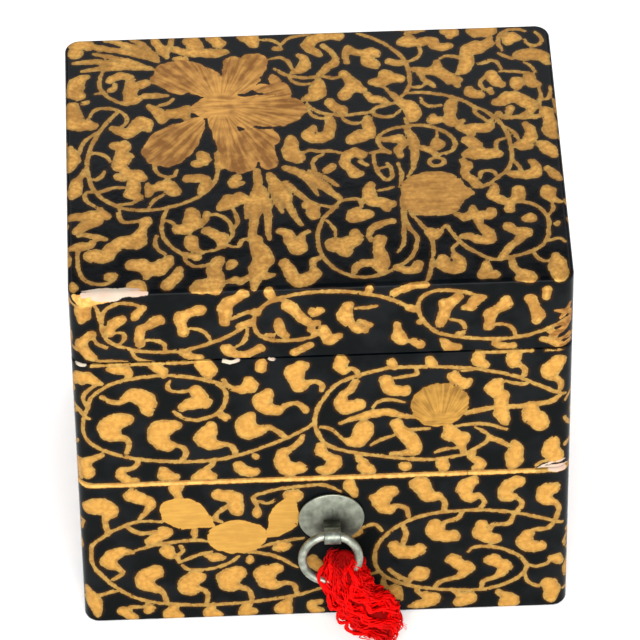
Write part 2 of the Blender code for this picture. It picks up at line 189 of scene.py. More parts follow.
LOWER_LEAVES = (
    (-43.5, 29.8, 1.2, -41.2, 31.3, 1.1, -39.3, 29, 1.3, -40.3, 26.5, .5, -40, 23, .4),
    (-42, 30, 1.4, -40.5, 30, 1.2),
    (-35.2, 32.8, 1.5, -33.4, 31.8, 1.2, -32, 30.7, 1.1, -32.5, 28.8, .5, -34, 26.8, .4),
    (-19.5, 32.3, 1.2, -16.5, 31.5, 1.3, -15.9, 29.6, .7, -15.8, 27.8, .3),
    (-17.8, 29.3, .4, -19.7, 27.5, .4, -20, 26, .4, -19, 25.2, .3),
    (-29.5, 23, 1.4, -31, 21.7, 1, -32, 20.8, 1.1, -31, 23, .5, -34, 23, .4, -36.5, 24.8, .35),
    (-35.5, 18, .3, -37.6, 18.4, 1, -39.3, 17.4, 1.3, -40, 15.7, 1.4, -38.5, 14, .6, -37.5, 12.8, .4,
     -39.3, 11.2, .35),
    (-31.5, 12.8, 1.5, -34, 12, 1, -33.6, 9.6, 1.3, -32, 8.4, 1, -30.5, 7.5, .5, -29.7, 5, .4),
    (-24, 11, 1.6, -26.1, 9.9, 1.1, -25.6, 7.9, 1.4, -23.3, 7.8, .6, -22, 6.5, .4, -22.2, 4, .4),
    (-16.2, 11.8, 1.5, -18.8, 11.2, 1.1, -18, 8.6, 1.4, -15.8, 7.9, .6, -14.3, 7, .4, -13.8, 5, .4),
    (-9.3, 12.5, 1.3, -12, 12, 1, -11.2, 9.6, 1.5, -9.6, 8.2, 1, -7.6, 8.6, .5, -6, 8.2, .4,
     -5.3, 5.6, .4),
    (-44.4, 8.3, .7, -43.6, 5.6, 1.6, -42.7, 2.8, .9, -42.6, 1.6, .3),
    (-42.6, 6.9, .5, -41.5, 7.3, .4, -38.8, 8.2, .35),
    (-37.8, 2.6, 1, -36, .9, .8), (-36.8, 2.9, .6, -36.3, 3.6, .4, -34, 3.6, .35, -33, 4.6, .3),
    (-33.2, 2.6, .8, -32.6, 3.4, .7),
    (-27.3, 3.6, .4, -28.6, 2.8, .8, -29.4, 1.3, 1, -27.4, .9, .8),
    (-21, 3.6, .4, -21.4, 2.3, .8, -21.9, 1.1, .9, -20, .9, .7),
    (-14, 3.9, .4, -15, 2.3, .9, -15.4, 1.1, .9, -13.7, 1.3, .8),
    (-6.6, 5, .4, -7.2, 3.4, .8, -8.7, 1.9, 1, -7, 1, .8),
    (-1.2, 3.4, .6, -2.7, 2.6, .8, -2.2, 1.4, .8, -.9, 1.1, .6),
    (-12.4, 28.7, .3, -12.4, 27.5, .8, -12.4, 26.4, .4),
    (-6.8, 18.6, .6, -8, 18.3, 1.2, -9.2, 17.8, .5),
    (-21.8, 16.7, .6, -20.3, 16, 1, -19, 15.8, .5),
    (-24, 23.8, .5, -24, 22.6, .6, -24, 21.6, .3), (-14, 16, .3, -14, 15.2, .7, -14, 14.4, .3),
    (-29.6, 19.6, .4, -29.1, 18, 1.2, -28.6, 16.6, .6),
    (-26.7, 19.3, .3, -26.3, 18, .4, -27.3, 16.8, .35, -27, 15, .3),
    (6.3, 21.5, .7, 5.6, 20.9, .7), (-2.4, 14.7, .9, -1.8, 13.5, 1.2, -1.3, 12.3, .8),
    (4.5, 34, 1, 4.9, 32.6, 1, 5.5, 30.9, .5),
    (12, 31.5, 1.4, 9.9, 30.4, 1, 10.4, 28, 1.2, 11.6, 26.9, 1, 13, 27.8, .5, 15, 27, .4, 15.4, 25, .4),
    (17.5, 33.3, 1.7, 18.3, 31.6, 1.3, 19.2, 30, 1.4, 21, 30, .6, 22, 28.5, .4, 22, 26.4, .4),
    (27, 33.5, 1.2, 25.3, 32, 1, 25.9, 30, 1.1, 26.8, 29.3, 1.1, 28.3, 29.8, .5, 29.3, 28, .4,
     28.8, 26.8, .4),
    (35.5, 33, 1.3, 33.4, 32.3, .9, 33, 30.2, 1.1, 33.6, 29.2, 1.2, 35, 29, .5, 36.3, 27.3, .4,
     35.5, 25.2, .4),
    (42, 31, 1.3, 40.2, 30.6, 1, 40.1, 28.8, 1.1, 40.9, 27.8, 1.1, 42.5, 27.2, .5, 43.2, 25.3, .4,
     42.3, 22.5, .4),
    (12.8, 17.5, 1.1, 14, 15.6, 1.3, 15.8, 15.3, 1.2, 17.5, 16.3, 1.2),
    (14.2, 16.8, .5, 14.5, 18.5, .4, 15, 20.5, .4, 14.3, 22.8, .35),
    (20.3, 22.8, 1.1, 20.3, 20.7, 1.5, 22, 19.5, 1.4, 23.5, 19.4, 1.3),
    (21.6, 21.4, .5, 22, 23, .4, 24.5, 24, .4, 25.2, 25.8, .35),
    (29, 22, 1.1, 28.7, 20.1, 1.4, 30, 18.7, 1.3, 31.3, 18.4, 1.2),
    (30.2, 20.6, .5, 31, 22, .4, 34, 22.3, .4, 34.8, 24.4, .35),
    (37.5, 19.3, 1, 36.8, 17.3, 1.3, 38, 15.9, 1.3, 39.6, 16, 1.2),
    (38, 18.8, .4, 38.5, 20.3, .4, 41, 20.6, .4, 42.2, 22, .3),
    (23.8, 13.3, 1.3, 24.8, 12, 1.2, 26.1, 10.9, 1.4, 25, 8.8, .6, 21.5, 7.6, .4, 20.3, 6.2, .35),
    (31, 12.8, 1.4, 32, 12, 1.2, 33.2, 11, 1.3, 32, 8.5, .6, 29.5, 7.3, .4, 29, 5.5, .35),
    (17.5, 9.7, 1.7, 16.4, 8.7, .7, 15.5, 8, .4, 13, 9.8, .4, 11.8, 11.2, .3),
    (17, 6.4, .4, 17.3, 4.8, .4, 18.8, 4, .9, 20, 3, 1.3, 18.9, 2, 1, 17.3, 1.6, .9, 15.5, 1.2, .3),
    (23.8, 5, .4, 25.2, 3.7, .7, 27, 3, 1.2, 26, 2, .9, 24.9, 1.8, 1.1),
    (32.3, 4.3, .6, 33.6, 3.2, .9, 34.6, 1.8, 1.4, 33.2, 1, .9),
    (12.8, 5.8, 1.2, 13.4, 4.4, .9, 14, 3, .3), (11.8, 6.2, .4, 10.8, 7.3, .4, 10.8, 9.2, .3),
    (42, 12.6, .7, 43, 12.6, 1, 43.9, 11.4, .6), (8.9, 30.1, .8, 10.6, 30.6, 1.1),
    (1.6, 13.2, 1.1, .6, 12, 1, 1.5, 10.8, .5, 1.8, 9, .35), (4.6, 13.2, .9, 5.4, 11.9, .9, 5, 10.2, .4),
    (2.2, 5.8, 1.2, 3.6, 4.7, 1.2, 3.4, 2.9, .8, 2.1, 1.7, .8),
    (6.3, 7.4, 1.2, 7.5, 6.2, 1.2, 7, 4.4, .5, 6, 3.2, .4), (6.8, 2.4, 1, 8, 1.4, .9),
    (-16.6, 31, 1.4, -16.2, 29, 1.3, -16, 27.6, .9),
    (40.8, 5.4, .5, 41.5, 6.3, 1.2, 42.2, 4, 1.5, 42, 2, .9),
)
LOWER_FRUITS = (
    (-27.4, 28.6, 2.6, -26, 27.7, 3.4, -23.6, 26.3, 2.2, -20.6, 24.4, .3),
    (-18, 21.1, 3.3, -16.3, 21.2, 3.8, -14.7, 21.2, 3.4),
    (-6.4, 30.2, .8, -7, 28.2, 1.8, -7.5, 25.6, 2.5, -8.4, 23.3, 1.7, -10.2, 21.4, .6),
)
LOWER_STEMS = (
    (-27.2, 34.3, 1.2, -27, 33, .8, -26.5, 31.7, .5),
    (-6.6, 31.6, 1, -5.2, 31.4, 1.1, -6.6, 29.6, .8, -7.3, 28.2, .5),
)
# The same painter's vines and leaves for the bare place round the plate, used on the faces
# that carry no ring.
RINGLESS_VINES = ((-4, 20.3, -1.4, 21.3, 1.8, 21.4, 4, 20.4, 5.9, 21.6),)
RINGLESS_LEAVES = (
    (2, 18.9, 1.3, .6, 17.6, 1.3, 1.6, 16.2, .5, 1.8, 14.4, .4),
    (1.4, 27.9, 1.4, -.6, 27.2, 1.2, -1, 25.2, 1.2, .4, 24.2, .5, 1.6, 21.6, .35),
    (6.3, 27.4, 1.2, 6.6, 25.6, 1.2, 8, 24.3, .5), (6.2, 18, 1.2, 5.6, 16.4, 1.2, 7.2, 15, .5),
)


def smooth_rows(rows, steps=6, measured=2):
    """Rows on a smooth line through the given rows.

    Each span is a cubic a(2t^3-3t^2+1) + m(t^3-2t^2+t) + b(3t^2-2t^3) + n(t^3-t^2), where m
    and n are the slopes at its ends: the chord over both neighbours, by length.
    """
    rows = np.asarray(rows, float)
    if len(rows) == 1:
        return np.repeat(rows, 2, 0)
    length = np.maximum(np.linalg.norm(np.diff(rows[:, :measured], axis=0), axis=1), 1e-6)
    slope = np.empty_like(rows)
    slope[1:-1] = (rows[2:] - rows[:-2]) / (length[1:] + length[:-1])[:, None]
    slope[0] = (rows[1] - rows[0]) / length[0]
    slope[-1] = (rows[-1] - rows[-2]) / length[-1]
    t = (np.arange(steps) / steps)[None, :, None]
    start, end = rows[:-1, None], rows[1:, None]
    leave = (slope[:-1] * length[:, None])[:, None]
    arrive = (slope[1:] * length[:, None])[:, None]
    spans = (
        start * (2 * t ** 3 - 3 * t ** 2 + 1) + leave * (t ** 3 - 2 * t ** 2 + t)
        + end * (3 * t ** 2 - 2 * t ** 3) + arrive * (t ** 3 - t ** 2)
    )
    return np.vstack([spans.reshape(-1, rows.shape[1]), rows[-1:]])


def leaf_strokes(strokes, fuller=1.12, webbed=False):
    """Brush strokes of changing width, each given as x, y and half width in millimetres.

    Each half width is made fuller, and the brush spreads it a little more. A webbed leaf is
    also filled where it bends, from each broad place to the next but one.
    """
    found = []
    for stroke in strokes:
        rows = np.reshape(stroke, (-1, 3)) * (1, 1, fuller) + (0, 0, BRUSH_SPREAD)
        found.append(smooth_rows(rows))
        if webbed:
            for near, far in zip(rows[:-2], rows[2:]):
                width = WEB_SHARE * min(near[2], far[2])
                if width > WEB_LEAST:
                    found.append(np.array([(near[0], near[1], width), (far[0], far[1], width)]))
    return found


def vine_strokes(lines):
    """Brush lines of one width, a little thinner at both ends, given as x and y in turn."""
    strokes = []
    for line in lines:
        points = np.reshape(line, (-1, 2))
        widths = np.full(len(points), VINE_HALF_WIDTH)
        widths[[0, -1]] *= VINE_TIP_SHARE
        strokes.append(smooth_rows(np.column_stack([points, widths])))
    return strokes


def unevenness(x, y):
    """The brush's uneven pressure, about -1 to 1: five plane waves of 2.1 to 4.6 mm, summed."""
    total = np.zeros(np.shape(x))
    for angle, length, phase in (
        (0.3, 2.4, 0.4), (1.2, 2.9, 2.0), (2.0, 3.4, 4.1), (2.7, 2.1, 1.3), (3.5, 4.6, 5.2),
    ):
        total += np.sin(math.tau * (x * math.cos(angle) + y * math.sin(angle)) / length + phase)
    return np.clip(total / 2.6, -1, 1)


def paint_depth(x, y, strokes):
    """How deep inside the paint each point lies, in mm, and minus its distance outside.

    For a link from a to b of a stroke, with the nearest point a share t along it, the depth is
    the half width there, changed a little by the unevenness, less the distance to it. The
    deepest link of all strokes counts.
    """
    depth = np.full(x.shape, -FIELD_REACH)
    swell = BRUSH_UNEVENNESS * unevenness(x, y)
    for stroke in strokes:
        for start in range(0, len(stroke) - 1, LINKS_AT_ONCE):
            part = stroke[start:start + LINKS_AT_ONCE + 1]
            low = (part[:, :2] - part[:, 2:3]).min(0) - FIELD_REACH
            high = (part[:, :2] + part[:, 2:3]).max(0) + FIELD_REACH
            near = np.flatnonzero((x > low[0]) & (x < high[0]) & (y > low[1]) & (y < high[1]))
            if near.size == 0:
                continue
            first, step = part[:-1], np.diff(part, axis=0)
            across, along = x[near, None] - first[:, 0], y[near, None] - first[:, 1]
            square = step[:, 0] ** 2 + step[:, 1] ** 2 + 1e-9
            share = np.clip((across * step[:, 0] + along * step[:, 1]) / square, 0, 1)
            gap = np.hypot(across - share * step[:, 0], along - share * step[:, 1])
            width = first[:, 2] + share * step[:, 2]
            inside = (width + swell[near, None] * np.minimum(width, 1) - gap).max(1)
            depth[near] = np.maximum(depth[near], inside)
    return depth


def on_another_face(strokes, end, shift=0.0, flip=1):
    """The same scroll on another face, flipped and moved.

    Leaves that would pass the face's end are left off, and vines stop short of it.
    """
    kept = []
    for stroke in strokes:
        moved = stroke * (flip, 1.0, 1.0) + (shift, 0.0, 0.0)
        inside = np.abs(moved[:, 0]) + moved[:, 2] < end
        if inside.all():
            kept.append(moved)
        elif len(stroke) > LEAF_MOST_POINTS:
            ends = np.flatnonzero(np.diff(np.concatenate([[0], inside.astype(int), [0]])))
            kept += [moved[a:b] for a, b in ends.reshape(-1, 2) if b - a > SCRAP_POINTS]
    return kept


class Outline:
    """Stations round the box's plan, anticlockwise from above, from the back left corner's middle.

    A station is half + radius * normal, where the normal stands still along a side and turns
    by 90 degrees at a corner. Sides run left, front, right, back, and each has its own
    coordinate: the distance along it from its middle, round both corners.
    """

    def __init__(self, front, side, behind, arc):
        quarter = math.pi / 4
        lead = np.linspace(-quarter, 0, arc // 2 + 1)[:-1]
        self.face, self.along, self.turn, self.starts = [], [], [], [0]
        base, normal = [], []
        for number, count in enumerate((side, front, side, behind)):
            reach = PLAN_HALF[(number + 1) % 2] - CORNER_RADIUS
            turn = np.concatenate([lead, np.zeros(count + 1), -lead[::-1][:-1]])
            along = np.concatenate([
                np.full(len(lead), -reach), np.linspace(-reach, reach, count + 1),
                np.full(len(lead) - 1, reach),
            ])
            angle = math.pi + number * math.pi / 2 + turn
            middle = math.pi + number * math.pi / 2
            outward = np.column_stack([np.cos(angle), np.sin(angle)])
            facing = np.array([math.cos(middle), math.sin(middle)])
            sideways = np.array([-facing[1], facing[0]])
            depth = PLAN_HALF[number % 2] - CORNER_RADIUS
            base.append(facing * depth + along[:, None] * sideways + CORNER_RADIUS * outward)
            normal.append(outward)
            self.face.append(np.full(len(along), number))
            self.along.append(along)
            self.turn.append(turn)
            self.starts.append(self.starts[-1] + len(along))
        self.base, self.normal = np.vstack(base), np.vstack(normal)
        self.face, self.along = np.concatenate(self.face), np.concatenate(self.along)
        self.turn = np.concatenate(self.turn)
        self.count = len(self.face)
        closed = np.vstack([self.base, self.base[:1]])
        self.walked = np.concatenate([[0], np.cumsum(np.linalg.norm(np.diff(closed, axis=0), axis=1))])

    def side_stations(self, number):
        """The stations of one side and of both its corners, and its own coordinate there."""
        before, after = (number - 1) % 4, (number + 1) % 4
        reach = PLAN_HALF[(number + 1) % 2] - CORNER_RADIUS
        own = self.face == number
        leading = (self.face == before) & (self.turn > 0)
        trailing = (self.face == after) & (self.turn < 0)
        place = np.where(own, self.along + CORNER_RADIUS * self.turn, 0.0)
        place[leading] = -reach - CORNER_RADIUS * (math.pi / 2 - self.turn[leading])
        place[trailing] = reach + CORNER_RADIUS * (math.pi / 2 + self.turn[trailing])
        stations = np.flatnonzero(own | leading | trailing)
        return stations, place[stations]


def paint_walls(outline, heights, strokes_by_side):
    """The paint's depth at every height and station, from the strokes of the four sides."""
    depth = np.full((len(heights), outline.count), -FIELD_REACH)
    for number, strokes in enumerate(strokes_by_side):
        stations, place = outline.side_stations(number)
        across, up = np.meshgrid(place, heights)
        found = paint_depth(across.ravel(), up.ravel(), strokes).reshape(across.shape)
        depth[:, stations] = np.maximum(depth[:, stations], found)
    return depth


def even_steps(start, end, step):
    """Values from start up to end, evenly spaced and no further apart than the step."""
    return np.linspace(start, end, int(math.ceil(abs(end - start) / step)) + 1)


def shell_mesh(name, outline, rows, fields, outside, cap_grid=None):
    """One closed board shell: stations carried along a profile of (inset, height) rows.

    A point is base - (inset + dent) * normal, at the row's height. The first row is closed by
    a face that looks down and the last by one that looks up, or by a grid of points. The map
    keeps the four sides of the outside rows large.
    """
    # Places and sizes on the map, in mm before it is scaled to the unit square
    column, gap, squeeze, cap_share = 92.0, 1.0, 0.45, 0.3
    under_place, over_place, board_place = (14.0, 11.0), (44.0, 11.0), (46.0, 36.0)
    inset, height = np.asarray(rows, float).T
    count, total = outline.count, len(inset)
    points = np.empty((total, count, 3))
    points[..., :2] = outline.base - inset[:, None, None] * outline.normal
    points[..., 2] = height[:, None]
    points[..., :2] += fields["dent"][..., None] * -outline.normal
    points = points.reshape(-1, 3)
    ring = np.arange(count)
    after = (ring + 1) % count
    low = (np.arange(total - 1) * count)[:, None]
    quads = np.stack([low + ring, low + after, low + count + after, low + count + ring], -1)
    faces = quads.reshape(-1, 4)
    profile = np.concatenate([[0], np.cumsum(np.hypot(np.diff(inset), np.diff(height)))])
    start, end = outside.start, outside.stop - 1
    side = outline.face
    left = outline.walked[:-1] - outline.walked[np.array(outline.starts)[side]]
    right = outline.walked[1:] - outline.walked[np.array(outline.starts)[side]]
    tall = profile[end] - profile[start] + gap
    # The outside's four sides lie in two rows, and the inside in a narrow strip over them
    across = np.where(side % 2 == 1, 0.0, column)[None, :]
    up = np.where(side < 2, 0.0, tall)[None, :]
    row = np.arange(total - 1)[:, None]
    is_outside = (row >= start) & (row < end)
    u0 = np.where(is_outside, across + left, squeeze * outline.walked[:-1])
    u1 = np.where(is_outside, across + right, squeeze * outline.walked[1:])
    skipped = np.where(row >= end, profile[end] - profile[start], 0)
    strip = 2 * tall + squeeze * (profile[:-1, None] - skipped)
    rise = squeeze * np.diff(profile)[:, None]
    v0 = np.where(is_outside, up + profile[:-1, None] - profile[start], strip)
    v1 = np.where(is_outside, up + profile[1:, None] - profile[start], strip + rise)
    v0, v1 = np.broadcast_to(v0, u0.shape), np.broadcast_to(v1, u0.shape)
    corners = [np.stack(corner, -1) for corner in ((u0, v0), (u1, v0), (u1, v1), (u0, v1))]
    maps = [np.stack(corners, 2).reshape(-1, 2)]
    shelf = 2 * tall + squeeze * profile[-1] + 2 * gap
    loops, starts, used = [faces.ravel()], [np.arange(len(faces)) * 4], faces.size
    values = {key: field.reshape(-1) for key, field in fields.items() if key != "dent"}
    flat_faces = [(ring[::-1], under_place)]
    if cap_grid is None:
        flat_faces.append(((total - 1) * count + ring, over_place))
    for cap, place in flat_faces:
        loops.append(cap)
        starts.append([used])
        used += count
        maps.append(points[cap, :2] * cap_share + (place[0], shelf + place[1]))
    if cap_grid is not None:
        inner, grid_faces, grid_values = cap_grid(points[(total - 1) * count:], len(points))
        points = np.vstack([points, inner])
        for key in values:
            values[key] = np.concatenate([values[key], grid_values[key]])
        loops.append(grid_faces.ravel())
        starts.append(used + np.arange(len(grid_faces)) * 4)
        maps.append(points[grid_faces.ravel(), :2] + (board_place[0], shelf + board_place[1]))
    mesh = bpy.data.meshes.new(name)
    mesh.vertices.add(len(points))
    mesh.vertices.foreach_set("co", (points * 0.001).astype(np.float32).ravel())
    loops = np.concatenate(loops).astype(np.int32)
    starts = np.concatenate(starts).astype(np.int32)
    mesh.loops.add(len(loops))
    mesh.loops.foreach_set("vertex_index", loops)
    mesh.polygons.add(len(starts))
    mesh.polygons.foreach_set("loop_start", starts)
    mesh.update(calc_edges=True)
    mesh.validate()
    for key, found in values.items():
        mesh.attributes.new(key, "FLOAT", "POINT").data.foreach_set("value", found.astype(np.float32))
    spots = np.concatenate(maps)
    spots = (spots - spots.min(0)) / (spots.max(0) - spots.min(0)) * 0.98 + 0.01
    mesh.uv_layers.new(name="OFBake").data.foreach_set("uv", spots.astype(np.float32).ravel())
    mesh.shade_smooth()
    mesh.set_sharp_from_angle(angle=SHARP_ANGLE)
    return mesh


def place_piece(name, mesh, material, body, slot, *nodes):
    """The piece as an object at the origin that rides on its body and stands for its nodes."""
    piece = bpy.data.objects.new(name, mesh)
    scene.collection.objects.link(piece)
    mesh.materials.append(material)
    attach(piece, body)
    if nodes:
        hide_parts(*nodes)
    return piece


SMOOTH = {"interpolation_type": "SMOOTHSTEP"}
COLOUR = {"data_type": "RGBA"}
ADD = {"operation": "ADD"}
SUBTRACT = {"operation": "SUBTRACT"}
MULTIPLY = {"operation": "MULTIPLY"}
MAXIMUM = {"operation": "MAXIMUM"}


def add_node(tree, kind, settings=None, out=0, **inputs):
    """Adds a node with its settings, and gives back the output asked for.

    Each input is a value or another node's output, under its name or its number after "_".
    """
    made = tree.nodes.new("ShaderNode" + kind)
    for name, value in (settings or {}).items():
        setattr(made, name, value)
    for name, value in inputs.items():
        socket = made.inputs[int(name[1:])] if name[0] == "_" else made.inputs[name.replace("_", " ")]
        if isinstance(value, bpy.types.NodeSocket):
            tree.links.new(value, socket)
        else:
            socket.default_value = value
    return made.outputs[out]


def painted_lacquer(name, streak_centre, is_upright, petals, leaves, browned):
    """Black lacquer rubbed to a satin gloss, with painted gold: fine powder in clear lacquer.

    The paint's edge is where its depth in mm passes nought, a little ragged. A brown film of
    lacquer shows round it. Petals and fruits are browner, with fine brush streaks that run out
    from the streak centre, and along X close to it and far from it. The leaves have a duller
    and a brighter gold and are browned in places. Pale and warm chips show the bare ground.
    """
    material, tree, shader = new_material(name, Specular_IOR_Level=0.026, IOR=1.5)
    node = partial(add_node, tree)
    where = node("TexCoord", out="Object")
    # Brush edge: waves about 0.7 mm long and 0.09 mm deep
    waver = node("TexNoise", Vector=where, Scale=1500.0, Detail=3.0)
    waver = node("MapRange", _0=waver, _1=0.3, _2=0.7, _3=-0.09, _4=0.09)
    # Wear: pinholes and nicks that reach 0.35 mm into the paint
    worn = node("TexNoise", Vector=where, Scale=1100.0, Detail=4.0)
    worn = node("MapRange", _0=worn, _1=0.27, _2=0.34, _3=-0.35, _4=0.0)
    depth = node("Attribute", {"attribute_name": "gilt"}, out="Fac")
    depth = node("Math", ADD, _0=node("Math", ADD, _0=depth, _1=waver), _1=worn)
    gold = node("MapRange", SMOOTH, _0=depth, _1=-0.04, _2=0.08)
    film = node("MapRange", SMOOTH, _0=depth, _1=-0.6, _2=0.0, _3=0.0, _4=0.75)
    body = node("MapRange", SMOOTH, _0=depth, _1=0.2, _2=0.8)
    # Lacquer: near black, a little lighter where the polish is worn in clouds of 6 mm. The upright
    # faces are painted lighter than the level ones: painted light, for the light that falls on the fronts
    cloud = node("TexNoise", Vector=where, Scale=160.0, Detail=4.0)
    cloud = node("MapRange", SMOOTH, _0=cloud, _1=0.42, _2=0.68)
    level = node("SeparateXYZ", _0=node("NewGeometry", out="Normal"), out=2)
    level = node("MapRange", SMOOTH, _0=level, _1=0.3, _2=0.9)
    lit_upright_black = node("Mix", COLOUR, _0=cloud, _6=linear("#0A0C0C"), _7=linear("#111314"), out=2)
    shaded_level_black = node("Mix", COLOUR, _0=cloud, _6=linear("#020406"), _7=linear("#070A0D"), out=2)
    ground = node("Mix", COLOUR, _0=level, _6=lit_upright_black, _7=shaded_level_black, out=2)
    ground = node("Mix", COLOUR, _0=film, _6=ground, _7=linear("#2B1B0D"), out=2)
    # Gold: ochre where it is thick and browner where thin, mottled by 0.8 mm, and browned by
    # handling in patches of 3 mm
    mottle = node("TexNoise", Vector=where, Scale=1300.0, Detail=5.0)
    mottle = node("MapRange", SMOOTH, _0=mottle, _1=0.34, _2=0.66)
    thick = node("Mix", COLOUR, _0=mottle, _6=linear(leaves[0]), _7=linear(leaves[1]), out=2)
    thin = node("Mix", COLOUR, _0=mottle, _6=linear("#83602F"), _7=linear("#96783F"), out=2)
    leaf = node("Mix", COLOUR, _0=body, _6=thin, _7=thick, out=2)
    dull = node("TexNoise", Vector=where, Scale=310.0, Detail=4.0)
    dull = node("MapRange", SMOOTH, _0=dull, _1=0.40, _2=0.62)
    dull = node("Math", MULTIPLY, _0=dull, _1=browned)
    leaf = node("Mix", COLOUR, _0=dull, _6=leaf, _7=linear("#70491F"), out=2)
    # Petals: rays of a fan round the centre, lines along X elsewhere, and blotches of 2 mm
    offset = node("VectorMath", SUBTRACT, _0=where, _1=streak_centre)
    rise = node("SeparateXYZ", _0=offset, out=2 if is_upright else 1)
    turned = node("Math", {"operation": "ARCTAN2"}, _0=rise, _1=node("SeparateXYZ", _0=offset))
    radius = node("VectorMath", {"operation": "LENGTH"}, _0=offset, out=1)
    turned = node("Math", MULTIPLY, _0=turned, _1=9.0)
    fan = node("CombineXYZ", _0=turned, _1=node("Math", MULTIPLY, _0=radius, _1=90.0))
    rays = node("TexNoise", Vector=fan, Scale=1.6, Detail=6.0)
    rays = node("MapRange", SMOOTH, _0=rays, _1=0.34, _2=0.66)
    drawn_out = node("VectorMath", MULTIPLY, _0=where, _1=(230.0, 1400.0, 1400.0))
    lines = node("TexNoise", Vector=drawn_out, Scale=1.0, Detail=4.0)
    lines = node("MapRange", SMOOTH, _0=lines, _1=0.34, _2=0.66)
    beyond_middle = node("MapRange", SMOOTH, _0=radius, _1=0.0018, _2=0.005)
    before_end = node("MapRange", SMOOTH, _0=radius, _1=0.022, _2=0.028, _3=1.0, _4=0.0)
    in_rays = node("Math", MULTIPLY, _0=beyond_middle, _1=before_end)
    brushed = node("Mix", _0=in_rays, _2=lines, _3=rays)
    blotch = node("TexNoise", Vector=where, Scale=520.0, Detail=5.0)
    blotch = node("MapRange", SMOOTH, _0=blotch, _1=0.34, _2=0.66)
    outward = node("MapRange", SMOOTH, _0=radius, _1=0.003, _2=0.013, _3=0.12, _4=-0.25)
    brushed = node("Math", MULTIPLY, _0=brushed, _1=0.62)
    streak = node("Math", ADD, _0=brushed, _1=node("Math", MULTIPLY, _0=blotch, _1=0.38))
    streak = node("Math", ADD, _0=streak, _1=outward)
    petal_gold = node("Mix", COLOUR, _0=streak, _6=linear(petals[0]), _7=linear(petals[1]), out=2)
    petal = node("Attribute", {"attribute_name": "petal"}, out="Fac")
    petal = node("MapRange", SMOOTH, _0=petal, _1=-0.1, _2=0.1)
    leaf = node("Mix", COLOUR, _0=petal, _6=leaf, _7=petal_gold, out=2)
    colour = node("Mix", COLOUR, _0=gold, _6=ground, _7=leaf, out=2)
    # Bare ground: warm primer where the gilt is rubbed through, and pale filler in the chips
    warm = node("Attribute", {"attribute_name": "warm"}, out="Fac")
    warm = node("MapRange", SMOOTH, _0=node("Math", ADD, _0=warm, _1=waver), _1=-0.1, _2=0.12)
    pale = node("Attribute", {"attribute_name": "pale"}, out="Fac")
    pale = node("MapRange", SMOOTH, _0=node("Math", ADD, _0=pale, _1=waver), _1=-0.08, _2=0.1)
    primer = node("Mix", COLOUR, _0=mottle, _6=linear("#B07D40"), _7=linear("#BF9550"), out=2)
    filler = node("Mix", COLOUR, _0=cloud, _6=linear("#A79C8B"), _7=linear("#AA8F7E"), out=2)
    colour = node("Mix", COLOUR, _0=warm, _6=colour, _7=primer, out=2)
    colour = node("Mix", COLOUR, _0=pale, _6=colour, _7=filler, out=2)
    tree.links.new(colour, shader.inputs["Base Color"])
    # The gold is rougher than the lacquer and partly metal, and the bare ground is dull
    bare = node("Math", MAXIMUM, _0=warm, _1=pale)
    rough = node("MapRange", _0=gold, _3=0.14, _4=0.42)
    rough = node("Math", ADD, _0=rough, _1=node("MapRange", _0=cloud, _3=0.0, _4=0.10))
    rough = node("Math", MAXIMUM, _0=rough, _1=node("Math", MULTIPLY, _0=bare, _1=0.8))
    tree.links.new(rough, shader.inputs["Roughness"])
    metal = node("Math", SUBTRACT, _0=0.30, _1=node("Math", MULTIPLY, _0=bare, _1=0.30))
    tree.links.new(node("Math", MULTIPLY, _0=gold, _1=metal), shader.inputs["Metallic"])
    # Uneven brush-laid surface: swells of 3 mm and grit of 0.3 mm
    relief = node("TexNoise", Vector=where, Scale=330.0, Detail=3.0)
    grit = node("TexNoise", Vector=where, Scale=3200.0, Detail=2.0)
    relief = node("Math", ADD, _0=relief, _1=node("Math", MULTIPLY, _0=grit, _1=0.12))
    bump = node("Bump", Strength=0.22, Distance=0.00018, Height=relief)
    tree.links.new(bump, shader.inputs["Normal"])
    return material


def wall_fields(outline, rows, outside, heights, gilt, petal=None, pale=None, warm=None):
    """The painted fields at every row and station. Only the outside rows carry paint.

    Each field is given as four lists of strokes, for the left, front, right and back sides.
    The surface is dented where a pale chip has taken the lacquer off.
    """
    fields = {}
    for key, strokes in (("gilt", gilt), ("petal", petal), ("pale", pale), ("warm", warm)):
        depth = np.full((len(rows), outline.count), -FIELD_REACH)
        if strokes is not None:
            depth[outside] = paint_walls(outline, heights, strokes)
        fields[key] = depth
    fields["dent"] = CHIP_DEPTH * np.clip(fields["pale"] / CHIP_SLOPE_WIDTH, 0, 1)
    return fields


def gilt_line(height, half_width, *spans):
    """A gilt edge at one height: level strokes between the given ends."""
    return [np.array([(a, height, half_width), (b, height, half_width)]) for a, b in spans]


def rim_and_lip(rim, lip_top, inside_heights):
    """Profile rows from the wall's top edge over the lip and down the inside."""
    rows = [
        (WALL_ARRIS, rim - WALL_ARRIS), (RIM_CHAMFER, rim), (LIP_OUTSIDE, rim),
        (LIP_OUTSIDE, lip_top - LIP_ARRIS), (LIP_OUTSIDE + LIP_ARRIS, lip_top),
        (INNER_WALL - LIP_ARRIS, lip_top), (INNER_WALL, lip_top - LIP_ARRIS),
    ]
    return rows + [(INNER_WALL, z) for z in inside_heights]


FULL_FRONT = (-47.0, 47.0)
FULL_SIDE = (-37.2, 37.2)
LOWER_GILT_EDGE = 35.42
LOWER_GILT_HALF_WIDTH = 0.42
lower_front = (
    vine_strokes(LOWER_VINES) + leaf_strokes(LOWER_LEAVES, webbed=True) + leaf_strokes(LOWER_FRUITS)
    + leaf_strokes(LOWER_STEMS)
)
ringless = lower_front + vine_strokes(RINGLESS_VINES) + leaf_strokes(RINGLESS_LEAVES, webbed=True)
tier_outline = Outline(front=264, side=84, behind=120, arc=12)
lower_wall = even_steps(FOOT_ARRIS, LOWER_RIM - RIM_CHAMFER, GRID_STEP)
